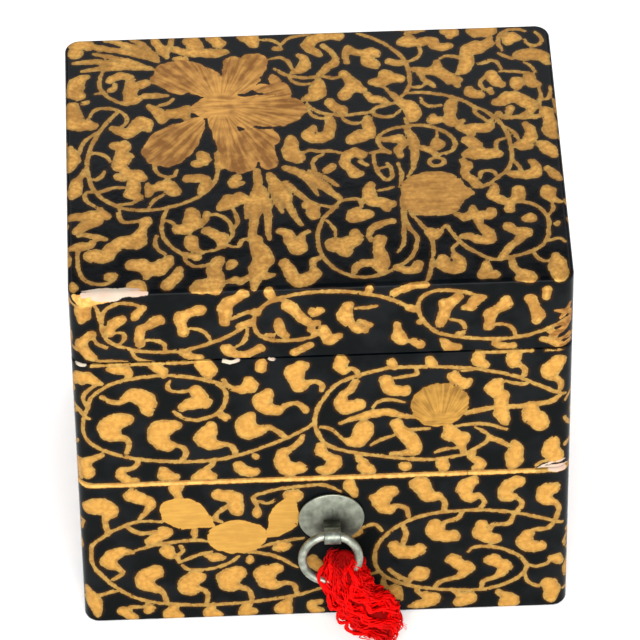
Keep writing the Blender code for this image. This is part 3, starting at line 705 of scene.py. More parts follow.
# The three rows of the rim take the paint from just below it
lower_paint_heights = np.concatenate([[WALL_ARRIS], lower_wall, [35.55, 35.6, 35.7]])
lower_under = [(FOOT_ARRIS, 0)]
lower_rows = (
    lower_under + [(WALL_ARRIS, WALL_ARRIS)] + [(0.0, z) for z in lower_wall]
    + rim_and_lip(LOWER_RIM, LOWER_LIP_TOP, (30, 21, 12, LOWER_FLOOR))
)
lower_outside = slice(len(lower_under), len(lower_under) + len(lower_paint_heights))
lower_side_gilt = gilt_line(LOWER_GILT_EDGE, 0.3, FULL_SIDE)
lower_fields = wall_fields(
    tier_outline, lower_rows, lower_outside, lower_paint_heights,
    gilt=(
        on_another_face(ringless, SIDE_END, shift=9.0) + lower_side_gilt,
        lower_front + gilt_line(LOWER_GILT_EDGE, LOWER_GILT_HALF_WIDTH, (-47, 25.9), (26.6, 47)),
        on_another_face(ringless, SIDE_END, shift=-7.0) + lower_side_gilt,
        on_another_face(ringless, BACK_END, flip=-1) + gilt_line(LOWER_GILT_EDGE, 0.3, FULL_FRONT),
    ),
    petal=([], leaf_strokes(LOWER_FRUITS), [], []),
    pale=([], leaf_strokes(((41.2, 35.6, .2, 42.8, 35.5, .35, 44.4, 35.5, .3),)), [], []),
    warm=([], gilt_line(LOWER_GILT_EDGE, 0.26, (-47, 25.9), (26.6, 38.5)), [], []),
)
lower_lacquer = painted_lacquer(
    "black_lacquer_painted_gold", (-0.016, -0.035, -0.03), is_upright=True,
    petals=("#A07736", "#B1873F"), leaves=("#A07435", "#B28540"), browned=0.10,
)
place_piece(
    "lower_tier_shell",
    shell_mesh("lower_tier_shell", tier_outline, lower_rows, lower_fields, lower_outside),
    lower_lacquer, "box", "lacquer", "lower_tier",
)

# Ring plate: a thin disc of grey metal with a low crown, its edge rounded over. It is pinned
# to the front by the eye that passes through it, and is darker round the eye, partly dirt and partly painted
# shade.
PLATE_CENTRE = (1.2, -35.4, 25.8)
PLATE_RADIUS = 6.05
PLATE_EDGE = 0.4
PLATE_CROWN = 0.7
HAMMER_DEPTH = 0.02


def surface_mesh(name, grid, close_rows=False, close_columns=False):
    """A mesh from a grid of points, rows by columns, joined round either way if asked."""
    rows, columns = grid.shape[:2]
    r = np.arange(rows if close_rows else rows - 1)[:, None]
    c = np.arange(columns if close_columns else columns - 1)[None, :]
    below, beside = (r + 1) % rows, (c + 1) % columns
    quads = np.stack([
        r * columns + c, r * columns + beside, below * columns + beside, below * columns + c,
    ], -1).reshape(-1, 4)
    mesh = bpy.data.meshes.new(name)
    mesh.from_pydata((grid.reshape(-1, 3) * 0.001).tolist(), [], quads.tolist())
    mesh.shade_smooth()
    return mesh


def weld(mesh, gap=1e-7):
    """Joins points that lie on each other, such as a pole's, and drops faces without area."""
    bm = bmesh.new()
    bm.from_mesh(mesh)
    bmesh.ops.remove_doubles(bm, verts=bm.verts, dist=gap)
    bmesh.ops.dissolve_degenerate(bm, edges=bm.edges, dist=gap)
    bmesh.ops.recalc_face_normals(bm, faces=bm.faces)
    bm.to_mesh(mesh)
    bm.free()
    return mesh


turns = np.linspace(0, math.tau, 96, endpoint=False)
shares = np.concatenate([[0.0], np.linspace(0.04, 0.965, 22), [0.985, 0.997, 1.0, 0.997, 0.985, 0.0]])
plate_rise = PLATE_EDGE + PLATE_CROWN * (1 - shares ** 2)
# The last rows go round the edge and close the flat underside
plate_rise[-6:] = (0.41, 0.36, 0.22, 0.06, 0.0, 0.0)
on_crown = (plate_rise > 0.3)[:, None]
hammered = HAMMER_DEPTH * np.sin(turns * 3 + 1.0)[None, :] * np.sin(shares * 9)[:, None] * on_crown
plate_grid = np.empty((len(shares), len(turns), 3))
plate_grid[..., 0] = PLATE_CENTRE[0] + PLATE_RADIUS * shares[:, None] * np.cos(turns)
plate_grid[..., 2] = PLATE_CENTRE[2] + PLATE_RADIUS * shares[:, None] * np.sin(turns)
plate_grid[..., 1] = PLATE_CENTRE[1] - plate_rise[:, None] - hammered


def worn_metal(name, light, dark, dirt_and_shade_centre, dirt_and_shade_size):
    """Silvered copper gone grey-green, with a satin finish.

    It has blotches of 1.5 mm, scratches 0.4 mm wide and 2 mm long, which is as fine as shows,
    and a dark patch where another part meets it, partly dirt and partly painted shade.
    """
    material, tree, shader = new_material(name, Metallic=0.85)
    node = partial(add_node, tree)
    where = node("TexCoord", out="Object")
    blotch = node("TexNoise", Vector=where, Scale=650.0, Detail=5.0)
    drawn_out = node("Mapping", Vector=where, Scale=(2600.0, 2600.0, 500.0), Rotation=(0.0, 0.5, 0.0))
    scratch = node("TexNoise", Vector=drawn_out, Scale=1.0, Detail=2.0)
    # A dark patch round the joint with another part: dirt, and painted shade where the parts meet
    away = node("VectorMath", {"operation": "DISTANCE"}, _0=where, _1=dirt_and_shade_centre, out=1)
    dirt_and_shade = node("MapRange", SMOOTH, _0=away, _1=dirt_and_shade_size * 0.4, _2=dirt_and_shade_size, _3=0.92, _4=0.0)
    share = node("MapRange", _0=blotch, _1=0.35, _2=0.65)
    colour = node("Mix", COLOUR, _0=share, _6=linear(dark), _7=linear(light), out=2)
    colour = node("Mix", COLOUR, _0=dirt_and_shade, _6=colour, _7=linear("#2C2C26"), out=2)
    tree.links.new(colour, shader.inputs["Base Color"])
    rough = node("MapRange", _0=scratch, _1=0.3, _2=0.7, _3=0.34, _4=0.52)
    tree.links.new(rough, shader.inputs["Roughness"])
    bump = node("Bump", Strength=0.15, Distance=0.0001, Height=scratch)
    tree.links.new(bump, shader.inputs["Normal"])
    return material


plate_metal = worn_metal(
    "silvered_plate_grey_green", "#8B8F80", "#6A6E61", (0.0016, -0.0362, 0.0245), 0.0042
)
place_piece(
    "ring_plate_disc", weld(surface_mesh("ring_plate_disc", plate_grid, close_columns=True)),
    plate_metal, "box", "fittings", "ring_plate",
)

# Eye: one strip of the same metal, folded round the ring with its two ends laid together and
# pushed through the plate and the front.
EYE_REACH = 5.2
EYE_WIDTH = 3.1
EYE_STRIP = 0.36
EYE_BORE = 1.218
EYE_LEG_OFFSET = 0.20
EYE_NECK = 0.30
HINGE = (1.2, -40.3, 25.8)
loop_radius = EYE_BORE + EYE_STRIP / 2
opening = math.asin(EYE_NECK / loop_radius)
loop_angles = np.linspace(math.pi - opening, opening - math.pi, 41)
leg_places = (-3.6, -2.0, 0.5, 2.6)


def unit(vectors, guard=0.0):
    """The vectors made 1 long: v / (|v| + guard). The guard keeps off a division by nought."""
    return vectors / (np.linalg.norm(vectors, axis=-1, keepdims=True) + guard)


# The strip's middle line in (outwards, up), from the wall round the ring and back
strip_line = np.vstack([
    [(place, EYE_LEG_OFFSET) for place in leg_places],
    np.column_stack([
        EYE_REACH + loop_radius * np.cos(loop_angles), loop_radius * np.sin(loop_angles)
    ]),
    [(place, -EYE_LEG_OFFSET) for place in leg_places[::-1]],
])
ahead = unit(np.gradient(strip_line, axis=0))
aside = np.column_stack([-ahead[:, 1], ahead[:, 0]])
# Its section: a flat bar with rounded edges, as (across the strip's width, through it)
bar_turn = np.linspace(0, math.tau, 20, endpoint=False)
bar_across = np.sign(np.cos(bar_turn)) * np.abs(np.cos(bar_turn)) ** 0.35 * EYE_WIDTH / 2
bar_through = np.sign(np.sin(bar_turn)) * np.abs(np.sin(bar_turn)) ** 0.6 * EYE_STRIP / 2
eye_grid = np.empty((len(strip_line), len(bar_turn), 3))
flat = strip_line[:, None, :] + aside[:, None, :] * bar_through[None, :, None]
eye_grid[..., 0] = HINGE[0] + bar_across
eye_grid[..., 1] = HINGE[1] + EYE_REACH - flat[..., 0]
eye_grid[..., 2] = HINGE[2] + flat[..., 1]


def capped_tube(name, grid):
    """A closed tube from rings of points: the first and last ring are drawn in to their middles."""
    first = np.broadcast_to(grid[:1].mean(1, keepdims=True), grid[:1].shape)
    last = np.broadcast_to(grid[-1:].mean(1, keepdims=True), grid[-1:].shape)
    return weld(surface_mesh(name, np.concatenate([first, grid, last]), close_columns=True))


# Darker where the strip goes into the plate, partly dirt and partly painted shade
eye_metal = worn_metal(
    "silvered_strip_dull", "#777B70", "#484B44", (0.0012, -0.0360, 0.0258), 0.0030
)
place_piece("eye_strip", capped_tube("eye_strip", eye_grid), eye_metal, "box", "fittings", "ring_eye")

# Ring: round wire bent to a circle and closed, a lighter grey than the plate. It hangs in the
# eye, a little to the left of its middle, and leans back to the plate.
RING_MIDDLE_RADIUS = 5.2
RING_WIRE_RADIUS = 0.8
RING_DROP = 5.082
RING_SHIFT = -0.4
RING_WEAR_SHARE = 0.02
REST_SWING = math.radians(9.0)
round_ring = np.linspace(0, math.tau, 120, endpoint=False)[:, None]
round_wire = np.linspace(0, math.tau, 24, endpoint=False)[None, :]
wire = RING_WIRE_RADIUS * (1 + RING_WEAR_SHARE * np.sin(3 * round_ring + 0.6))
reach = RING_MIDDLE_RADIUS + wire * np.cos(round_wire)
hung = reach * np.cos(round_ring) - RING_DROP
proud = wire * np.sin(round_wire)
ring_grid = np.empty(hung.shape + (3,))
ring_grid[..., 0] = HINGE[0] + RING_SHIFT + reach * np.sin(round_ring)
ring_grid[..., 1] = HINGE[1] + hung * math.sin(REST_SWING) - proud * math.cos(REST_SWING)
ring_grid[..., 2] = HINGE[2] + hung * math.cos(REST_SWING) + proud * math.sin(REST_SWING)
# Darker where the wire hangs in the eye, partly dirt and partly painted shade
ring_metal = worn_metal(
    "silvered_wire_worn", "#A0A496", "#6F7468", (0.0012, -0.0400, 0.0262), 0.0020
)
place_piece(
    "ring_wire", weld(surface_mesh("ring_wire", ring_grid, close_rows=True, close_columns=True)),
    ring_metal, "ring", "fittings", "ring",
)

# Tassel: a hank of crinkled red silk yarn looped through the ring, its cut ends frayed out
# over the tabletop. It is made as a core inside, a deeper red as painted shade between the
# yarns, and some hundreds of yarns over it.
TASSEL_WIDTH = 10.4
TASSEL_THICKNESS = 6.0
TASSEL_LEAN = 7.6
TASSEL_REACH = 2.4
TASSEL_LOOP_RISE = 5.6
TASSEL_TWIST = math.radians(70.0)
HOLD_ANGLE = math.radians(18.0)
LOCKS = 25
YARNS_IN_LOCK = 12
YARNS = LOCKS * YARNS_IN_LOCK
YARN_RADIUS = 0.19
YARN_POINTS = 64
YARN_SIDES = 5
TIP_HEIGHT = 0.3
CORE_SHARE = 0.70
CORE_LEAST_HEIGHT = 0.35
# The share of the length from the loop's top over which the yarns are painted darker, as shade
SHADED_TOP_SHARE = 0.24
# From the loop's top to the tip: the rise above the wire and the sink below it, then the
# lean, reach, width and thickness, each as a share of its own size
TASSEL_FORM = (
    (1.00, 0.00, 0.12, -0.75, 0.12, 0.15), (0.90, 0.00, 0.10, -0.75, 0.42, 0.45),
    (0.55, 0.00, 0.06, -0.67, 0.68, 0.70), (0.10, 0.00, 0.05, -0.17, 0.86, 0.95),
    (0.00, 0.11, 0.14, 0.04, 0.86, 1.00), (0.00, 0.28, 0.36, 0.04, 0.94, 1.00),
    (0.00, 0.44, 0.57, 0.04, 0.96, 0.96), (0.00, 0.60, 0.76, 0.10, 0.94, 0.92),
    (0.00, 0.72, 0.92, 0.27, 0.78, 0.86), (0.00, 0.83, 1.00, 0.50, 0.56, 0.74),
    (0.00, 0.93, 1.02, 0.75, 0.30, 0.42), (0.00, 0.97, 1.03, 0.90, 0.12, 0.15),
)
hold_drop = RING_DROP + RING_MIDDLE_RADIUS * math.cos(HOLD_ANGLE)
hold = np.array([
    HINGE[0] + RING_MIDDLE_RADIUS * math.sin(HOLD_ANGLE),
    HINGE[1] - hold_drop * math.sin(REST_SWING),
    HINGE[2] - hold_drop * math.cos(REST_SWING),
])
rise, sink, lean, out, wide, thick = np.array(TASSEL_FORM).T
fall = hold[2] - TIP_HEIGHT
tassel_rows = np.column_stack([
    hold[0] + lean * TASSEL_LEAN, hold[1] - out * TASSEL_REACH,
    hold[2] + rise * TASSEL_LOOP_RISE - sink * fall, wide * TASSEL_WIDTH / 2, thick * TASSEL_THICKNESS / 2,
])
tassel_line = smooth_rows(tassel_rows, 10, measured=3)
run = np.linalg.norm(np.diff(tassel_line[:, :3], axis=0), axis=1)
walked = np.concatenate([[0], np.cumsum(run)]) / run.sum()


def tassel_frame(share):
    """Middle point, half width and half thickness, and the two directions across, at a share."""
    row = np.stack([np.interp(share, walked, tassel_line[:, k]) for k in range(5)], -1)
    step = 0.01
    before = np.stack([np.interp(share - step, walked, tassel_line[:, k]) for k in range(3)], -1)
    beyond = np.stack([np.interp(share + step, walked, tassel_line[:, k]) for k in range(3)], -1)
    along = unit(beyond - before)
    sideways = unit(np.cross(along, np.array([0.0, -1.0, 0.0])))
    through = np.cross(sideways, along)
    return row[..., :3], row[..., 3:4], row[..., 4:5], sideways, through


core_share = np.linspace(0.0, 1.0, 60)[:, None]
core_turn = np.linspace(0, math.tau, 48, endpoint=False)[None, :]
middle, half_wide, half_thick, sideways, through = tassel_frame(core_share[:, 0])
# The core has 11 low ridges, which fade to both ends
ridges = np.sin(11 * (core_turn + TASSEL_TWIST * core_share)) * np.sin(math.pi * core_share)
core_reach = CORE_SHARE + 0.05 * ridges
core_grid = (
    middle[:, None] + sideways[:, None] * half_wide[:, None] * (core_reach * np.cos(core_turn))[..., None]
    + through[:, None] * half_thick[:, None] * (core_reach * np.sin(core_turn))[..., None]
)
core_grid[..., 2] = np.maximum(core_grid[..., 2], CORE_LEAST_HEIGHT)

rng = np.random.default_rng(7)
share = np.linspace(0, 1, YARN_POINTS)[None, :]
lock = np.repeat(np.arange(LOCKS), YARNS_IN_LOCK)


def by_lock(low, high):
    """One random value for each lock, given to all its yarns."""
    return rng.uniform(low, high, LOCKS)[lock][:, None]


def by_yarn(low, high):
    """One random value for each yarn."""
    return rng.uniform(low, high, (YARNS, 1))


angle = (math.tau * lock / LOCKS * 3)[:, None] + by_lock(-0.3, 0.3)
spread = np.sqrt(by_lock(0.18, 1.08))
start = by_lock(0.0, 0.26) * (by_lock(0, 1) < 0.6) + by_yarn(0.0, 0.04)
finish = by_lock(0.84, 1.0) + by_yarn(-0.07, 0.05)
place = start + (finish - start) * share
middle, half_wide, half_thick, sideways, through = tassel_frame(np.clip(place, 0.0, 1.0))
# A lock waves by 0.25 to 0.7 mm over 3 to 7 mm. Its yarns twist round it, each crinkled by 0.1
# to 0.2 mm over 1 to 2 mm, and the cut ends stray
length = run.sum()
wave = np.zeros((2,) + place.shape)
for number in range(2):
    wave[number] = by_lock(0.25, 0.7) * (0.5 + place) * np.sin(
        math.tau * place * length / by_lock(3.0, 7.0) + by_lock(0, math.tau)
    )
    wave[number] += by_yarn(0.08, 0.24) * np.sin(
        math.tau * place * length / by_yarn(1.2, 2.4) + by_yarn(0, math.tau)
    )
twist = by_yarn(0, math.tau) + math.tau * place * by_lock(1.2, 3.2)
off = 0.82 * np.sqrt(by_yarn(0.05, 1.0)) * (0.8 + 0.5 * place ** 2)
wave += off * np.stack([np.cos(twist), np.sin(twist)])
stray = np.clip(place - 0.66, 0, None) ** 2 * rng.normal(0, 6.0, (2, YARNS, 1))
swirl = angle + TASSEL_TWIST * place + 0.4 * np.sin(math.tau * place + angle)
off_wide = half_wide * 0.98 * (spread * np.cos(swirl))[..., None] + (wave[0] + stray[0])[..., None]
off_thick = half_thick * 0.85 * (spread * np.sin(swirl))[..., None] + (wave[1] + 0.5 * stray[1])[..., None]
yarn_line = middle + sideways * off_wide + through * off_thick
# The yarns that lie on the tabletop lie over one another
lowest = YARN_RADIUS + 0.1 + 0.25 * rng.random((YARNS, 1))
yarn_line[..., 2] = np.maximum(yarn_line[..., 2], lowest)
ahead = unit(np.gradient(yarn_line, axis=1), 1e-9)
first_side = unit(np.cross(ahead, np.array([0.0, -0.3, 1.0])), 1e-9)
second_side = np.cross(ahead, first_side)
around = np.linspace(0, math.tau, YARN_SIDES, endpoint=False)
taper = np.minimum(1.0, 5.0 * np.minimum(share, 1 - share) + 0.25)[..., None, None]
yarn_radius = (rng.uniform(0.7, 1.25, YARNS) * YARN_RADIUS)[:, None, None, None] * taper
yarn_grid = yarn_line[:, :, None] + yarn_radius * (
    first_side[:, :, None] * np.cos(around)[:, None] + second_side[:, :, None] * np.sin(around)[:, None]
)
points = yarn_grid.reshape(-1, 3)
turn = np.arange(YARN_SIDES)
beside = (turn + 1) % YARN_SIDES
strand = np.arange(YARNS)[:, None] * YARN_POINTS * YARN_SIDES
ring = strand[:, :, None] + np.arange(YARN_POINTS - 1)[None, :, None] * YARN_SIDES
quads = np.stack([
    ring + turn, ring + YARN_SIDES + turn, ring + YARN_SIDES + beside, ring + beside,
], -1).reshape(-1, 4)
ends = np.concatenate([strand + turn, strand + (YARN_POINTS - 1) * YARN_SIDES + turn[::-1]])
yarn_mesh = bpy.data.meshes.new("tassel_yarns")
yarn_mesh.from_pydata((points * 0.001).tolist(), [], quads.tolist() + ends.tolist())
yarn_mesh.shade_smooth()
# Each yarn has its own depth of red, and is painted darker towards the loop's top, as shade from the ring and
# the fold
tone = 0.65 * by_lock(0, 1) + by_yarn(0, 0.35) - 0.7 * np.clip(1 - place / SHADED_TOP_SHARE, 0, 1)
tone = np.repeat(tone.ravel(), YARN_SIDES)
yarn_mesh.attributes.new("tone", "FLOAT", "POINT").data.foreach_set("value", tone.astype(np.float32))
core_mesh = capped_tube("tassel_core", core_grid)


def silk(name, deep, bright, rough):
    """Dyed silk yarn: bright red with a soft sheen, each yarn a little lighter or deeper, and darker where
    painted shade is laid in.

    It is flecked by 1 mm, where the crinkled yarn turns to the light.
    """
    material, tree, shader = new_material(name, Roughness=rough, Specular_IOR_Level=0.05)
    node = partial(add_node, tree)
    where = node("TexCoord", out="Object")
    tone = node("Attribute", {"attribute_name": "tone"}, out="Fac")
    fleck = node("TexNoise", Vector=where, Scale=900.0, Detail=3.0)
    share = node("Math", {"operation": "MULTIPLY_ADD"}, _0=fleck, _1=0.7, _2=-0.1)
    share = node("Math", {"operation": "MULTIPLY_ADD", "use_clamp": True}, _0=tone, _1=0.6, _2=share)
    colour = node("Mix", COLOUR, _0=share, _6=linear(deep), _7=linear(bright), out=2)
    tree.links.new(colour, shader.inputs["Base Color"])
    bump = node("Bump", Strength=0.3, Distance=0.0001, Height=fleck)
    tree.links.new(bump, shader.inputs["Normal"])
    return material


# The core's deeper red is painted shade in the gaps between the yarns
shaded_core_silk = silk("red_silk_core_painted_shade", "#5A0000", "#860101", 0.8)
place_piece("tassel_core", core_mesh, shaded_core_silk, "ring", "silk", "tassel")
yarn_silk = silk("red_silk_yarn", "#760000", "#DA0200", 0.5)
place_piece("tassel_yarns", yarn_mesh, yarn_silk, "ring", "silk")

# Upper tier: the same boards and lacquer, with a shallow recess under its floor that goes
# over the lower tier's lip. Its gilt edges are worn, and chipped in places along the top.
UPPER_BASE = 36.1
UPPER_RIM = 66.1
UPPER_LIP_TOP = 68.7
RECESS_CEILING = 39.0
UPPER_FLOOR = 41.0
SKIRT = 0.9
UPPER_FOOT_ROW = 36.25
UPPER_GILT_EDGE = 65.75
UPPER_GILT_FOOT = 36.2
PAINT_FOOT = 35.93
UPPER_STRETCH = 0.84

UPPER_VINES = (
    (-18, 24.3, -20.5, 25.2, -24, 26.3, -28, 26.9, -32, 26.7, -35, 26.2, -38, 25.2, -40.3, 23.6,
     -41.8, 21.8, -42.5, 19.5, -43.3, 17, -43.6, 14, -43.2, 12, -42, 10.3, -40, 8.7, -37, 7.2, -34, 6.2,
     -30, 5.5, -26, 5.1, -22, 5.1, -18, 5.6, -14, 6.8, -10, 8.6, -6.5, 10.3, -3.5, 12.2, -1.7, 13.7),
    (-19, 24.2, -17.7, 22.7, -17.6, 20, -18.5, 17.8, -20.3, 16.3, -23, 15.5, -25, 16, -26.3, 17,
     -27, 17.8),
    (-40.7, 25.2, -42.3, 23.8, -43.3, 22, -42.9, 20),
    (-44.9, 19, -43.5, 17.6, -42.3, 16.7),
    (-27.5, 25.6, -28, 24, -27.3, 23, -25.5, 22.7, -24, 23),
    (43.9, 18.6, 41.5, 19.8, 38.5, 21.6, 35, 23.6, 31, 25, 27, 26, 22, 26.6, 17, 26.9, 12, 26.8,
     8, 25.8, 4.5, 24.5, 2, 22.8, .5, 20.5, -.8, 18, -1.5, 15.5, -1.5, 13, -.8, 10.5, .3, 8.5,
     2.5, 7, 6, 5.8, 10, 4.9, 15, 3.9, 19, 3.5, 23, 3.9, 26, 4.8, 28, 6.2, 29.5, 7.5, 30, 8.5),
    (9, 17.2, 10, 18.5, 12, 19, 14.8, 18.2),
    (8.6, 7.7, 10.5, 9, 12.8, 10), (14.8, 11.1, 17, 11.3, 19.2, 11.3),
    (20.3, 5.2, 21.5, 5.9, 24.5, 6.2),
    (24, 11.8, 27, 12.1, 30, 11.9, 32, 11, 33.2, 10.5), (27.5, 11.3, 29.5, 9.8, 30.3, 8.5),
    (12.8, 24.3, 15.5, 24.7, 17, 25.2, 16.8, 26.3), (25, 25.5, 26.8, 25.7),
    (33, 22.6, 34.5, 22, 36.5, 21.8, 37.5, 22.4),
    (3.5, 9.2, 2.3, 11, 1, 12.3, -.6, 12.7), (38.7, 1, 40, 2, 41.3, 2.2),
)
UPPER_LEAVES = (
    (-38, 28.9, .9, -36, 28.6, 1, -34.8, 27.9, .8, -34.9, 26.6, .5),
    (-30.3, 29.3, .9, -29, 28.3, 1, -28.4, 26.9, .7),
    (-21.5, 29.3, 1.5, -20.6, 28, 1.6, -20.5, 26.2, .7),
    (-43.8, 26.6, 1.4, -42.5, 27, 1.4, -41, 25.9, .8, -39.8, 25.2, .4),
    (-39.8, 22, .45, -38.3, 20.8, .5, -36.5, 20.6, .55, -35.3, 21.8, 1.1, -33.8, 22.3, 1.6,
     -31.6, 21.1, 1.5, -31.7, 19, 1.4, -31.6, 17.7, .8),
    (-35.3, 16.3, 1.2, -38, 15.9, 1.8, -38.8, 13.4, 2, -37.6, 12, 1.2, -35.8, 11.2, .6, -35.3, 9.8, .45,
     -35.8, 7.9, .45),
    (-27.2, 14.3, 1.4, -29.8, 13.7, 1.8, -30, 11.3, 1.8, -28.6, 9.4, 1.5, -27, 9.3, .6, -25.4, 8.6, .5,
     -25.1, 7, .45, -25.8, 5.4, .55),
    (-20.4, 13.8, 1.1, -21.1, 12.2, 1.6, -22, 10.9, 1.5, -20.5, 9.2, 1.4, -18.6, 9.2, .6, -17, 8.9, .5,
     -16.2, 7.5, .5, -16, 6.2, .5),
    (-25.2, 19, 1.1, -23, 19.9, 1.5, -21.4, 19.8, 1.4), (-22.8, 23, 1.2, -22.1, 21.2, 1.5),
    (-18.4, 16.4, .8, -17.6, 15.9, .8),
    (-13.3, 16.2, .9, -14, 14.2, 1.8, -13.6, 12.3, 2, -11.9, 12.3, 1.3, -10, 13, .55, -8.3, 12, .5,
     -6.9, 10.3, .5),
    (-10.2, 21.4, 1.3, -11.5, 19.6, 1.3, -10.4, 17.8, 1.2, -8.8, 17.2, 1.2, -7, 18.2, .6, -5, 18.9, .5,
     -3.8, 18, .6, -3.2, 16.9, .6),
    (-13.3, 25, 1, -12.9, 23.4, 1.3, -14.5, 22.8, 1, -16, 23, .6, -17.2, 24, .45, -17.8, 25.3, .4),
    (-11, 29, 1, -11, 27.7, .9),
    (-3.9, 28, 1.4, -5.5, 26.6, 1.4, -4.8, 24.4, 1.3, -4.2, 23, 1.3, -2.8, 23.8, .7, -1.2, 24, .5,
     -.2, 23.2, .45, -.3, 21.8, .4),
    (-43.8, 5.3, 1.2, -43.3, 3.3, 1.4, -43.3, 2.2, .9), (-43.4, 5.8, .9, -41.8, 6.7, .7, -40.5, 7.4, .5),
    (-34.4, .7, .7, -36, .9, .9, -37.2, 2.3, .9, -36.8, 3.5, .7, -35, 3.9, .5, -34, 4.8, .5,
     -33.8, 5.9, .5),
    (-29.2, 3.1, .9, -29.3, 1.8, 1.1, -27.4, 1.1, 1),
    (-23.2, 1, 1, -22, 2.2, 1, -20.5, 1, 1), (-21.5, 3, .5, -20.3, 4.2, .5, -20.2, 4.9, .5),
    (-15.5, 3.8, .9, -15.2, 2.6, 1, -13.6, 2, 1.2, -12.8, 1.8, 1), (-12.5, 6, .5, -12.3, 5.6, .5),
    (-3.8, 10.6, .4, -4.5, 9, .5, -6.2, 7.3, .7, -7.6, 6, 1.2, -7.5, 3.5, 1.4, -6.7, 2.1, 1.4,
     -4.7, 2.5, 1.5),
    (-.6, 8, .9, -.7, 6.5, 1, .5, 5.2, .8, 2.1, 4.3, 1, 1.8, 2.6, 1.2, .2, 1.8, 1.2, -.7, 1.9, .7),
    (3.4, 29, 1.3, 3, 27.6, 1.1, 3.7, 26.4, .8, 5.2, 27, .5, 6.1, 26.2, .45, 6.5, 25, .4),
    (12.3, 28.4, .8, 12.7, 27, .7), (19.3, 28.8, .8, 19.6, 27.3, .9),
    (28, 29, 1.2, 28, 27.8, 1.2, 29.3, 26.7, .8),
    (34.5, 29, 1.3, 34.3, 27.3, 1.2, 35.5, 26.3, .6, 36.4, 25.3, .5, 36.2, 23.8, .45),
    (42.3, 27, 1.5, 41, 25, 1.7, 40.9, 23.7, 1, 42.2, 22.8, .6, 42.9, 21.6, .6, 42.9, 20.3, .5),
    (6, 23.8, .6, 5, 22, .7, 3.6, 20.4, .9, 3.3, 18.3, 1.3, 4.3, 17.1, 1.4, 6.3, 18, 1.4),
    (11.3, 24, 1.1, 12, 22, 1.3, 12.3, 21.1, 1.1, 14.5, 21, 1.3),
    (23.5, 24.2, 1.2, 24.5, 23, 1.2, 25.7, 22.2, 1, 26.4, 23, .7), (25.5, 21.6, .8, 25.6, 22.6, .8),
    (31.5, 22.3, 1.1, 30.7, 20.7, 1.5, 32, 19.3, 1.4, 32.6, 18.2, 1.1, 32, 15.5, 1.2, 32.5, 13.8, 1.4,
     32.8, 12.3, .8),
    (37.8, 16, 1.2, 37.7, 14, 1.8, 39, 12.3, 1.9, 39.3, 11.1, 1.2),
    (7.3, 12.2, 1.7, 6.9, 10, 1.8, 5.5, 8.6, 1.3, 4, 9, .6),
    (13.2, 12.8, 1.2, 14.3, 10.5, 1.3, 16, 8.5, 1.5, 16.5, 6.8, 1.3, 16.6, 5.7, .9, 14.5, 5.4, .6,
     12.3, 5.3, .35),
    (22.4, 12, .8, 23, 10.5, 1.2, 22.8, 9.3, 1.2, 25.3, 8.8, 1.3, 25, 7.2, .9, 25.3, 5.5, .6),
    (34.8, 6.7, .9, 34.9, 5.2, 1.4, 34.7, 3, 1.6, 34.6, 1.9, 1.4),
    (30.3, 8.5, .7, 32, 7.6, .5, 33.8, 6.2, .5),
    (42, 7.2, 1, 41.3, 5, 1.6, 42, 3.5, 1.8, 42.9, 2.6, .9),
    (6.3, 5.3, .6, 6.4, 4.2, .7, 7.2, 3.3, .8, 7.4, 1.9, 1.3, 8.2, 1.5, 1.2),
    (14.8, 2.2, 1, 14.9, 1.9, 1.1), (21.5, 3, 1, 21.6, 1.8, 1.2, 21.8, 1.3, 1.1),
    (27, 4.8, .7, 26.9, 3.6, .6, 28.3, 2.6, .9, 28.6, 1.5, .9, 27.8, 1, .7),
    (3.1, 13.5, .35, 4.5, 14.2, .45, 8, 15.3, .9, 11.5, 15.8, .9, 15, 14.7, .5, 16.5, 14.4, .4),
    (26, 14.9, .5, 29, 15.7, .55, 32, 16.3, .5, 35.5, 16.2, .5, 39, 16.6, .55, 41.5, 17.3, .5,
     42.8, 18.5, .4),
)
UPPER_FRUIT = ((20.9, 16.9, 5.0, 21.2, 17.5, 5.1),)


def raised(strokes, lift, stretch=1.0):
    """The strokes stretched in height from the foot, then lifted."""
    return [stroke * (1, stretch, 1) + (0, lift, 0) for stroke in strokes]


upper_fruit = raised(leaf_strokes(UPPER_FRUIT, fuller=1.0), PAINT_FOOT)
upper_scroll = vine_strokes(UPPER_VINES) + leaf_strokes(UPPER_LEAVES, fuller=1.02, webbed=True)
upper_front = raised(upper_scroll, PAINT_FOOT) + upper_fruit
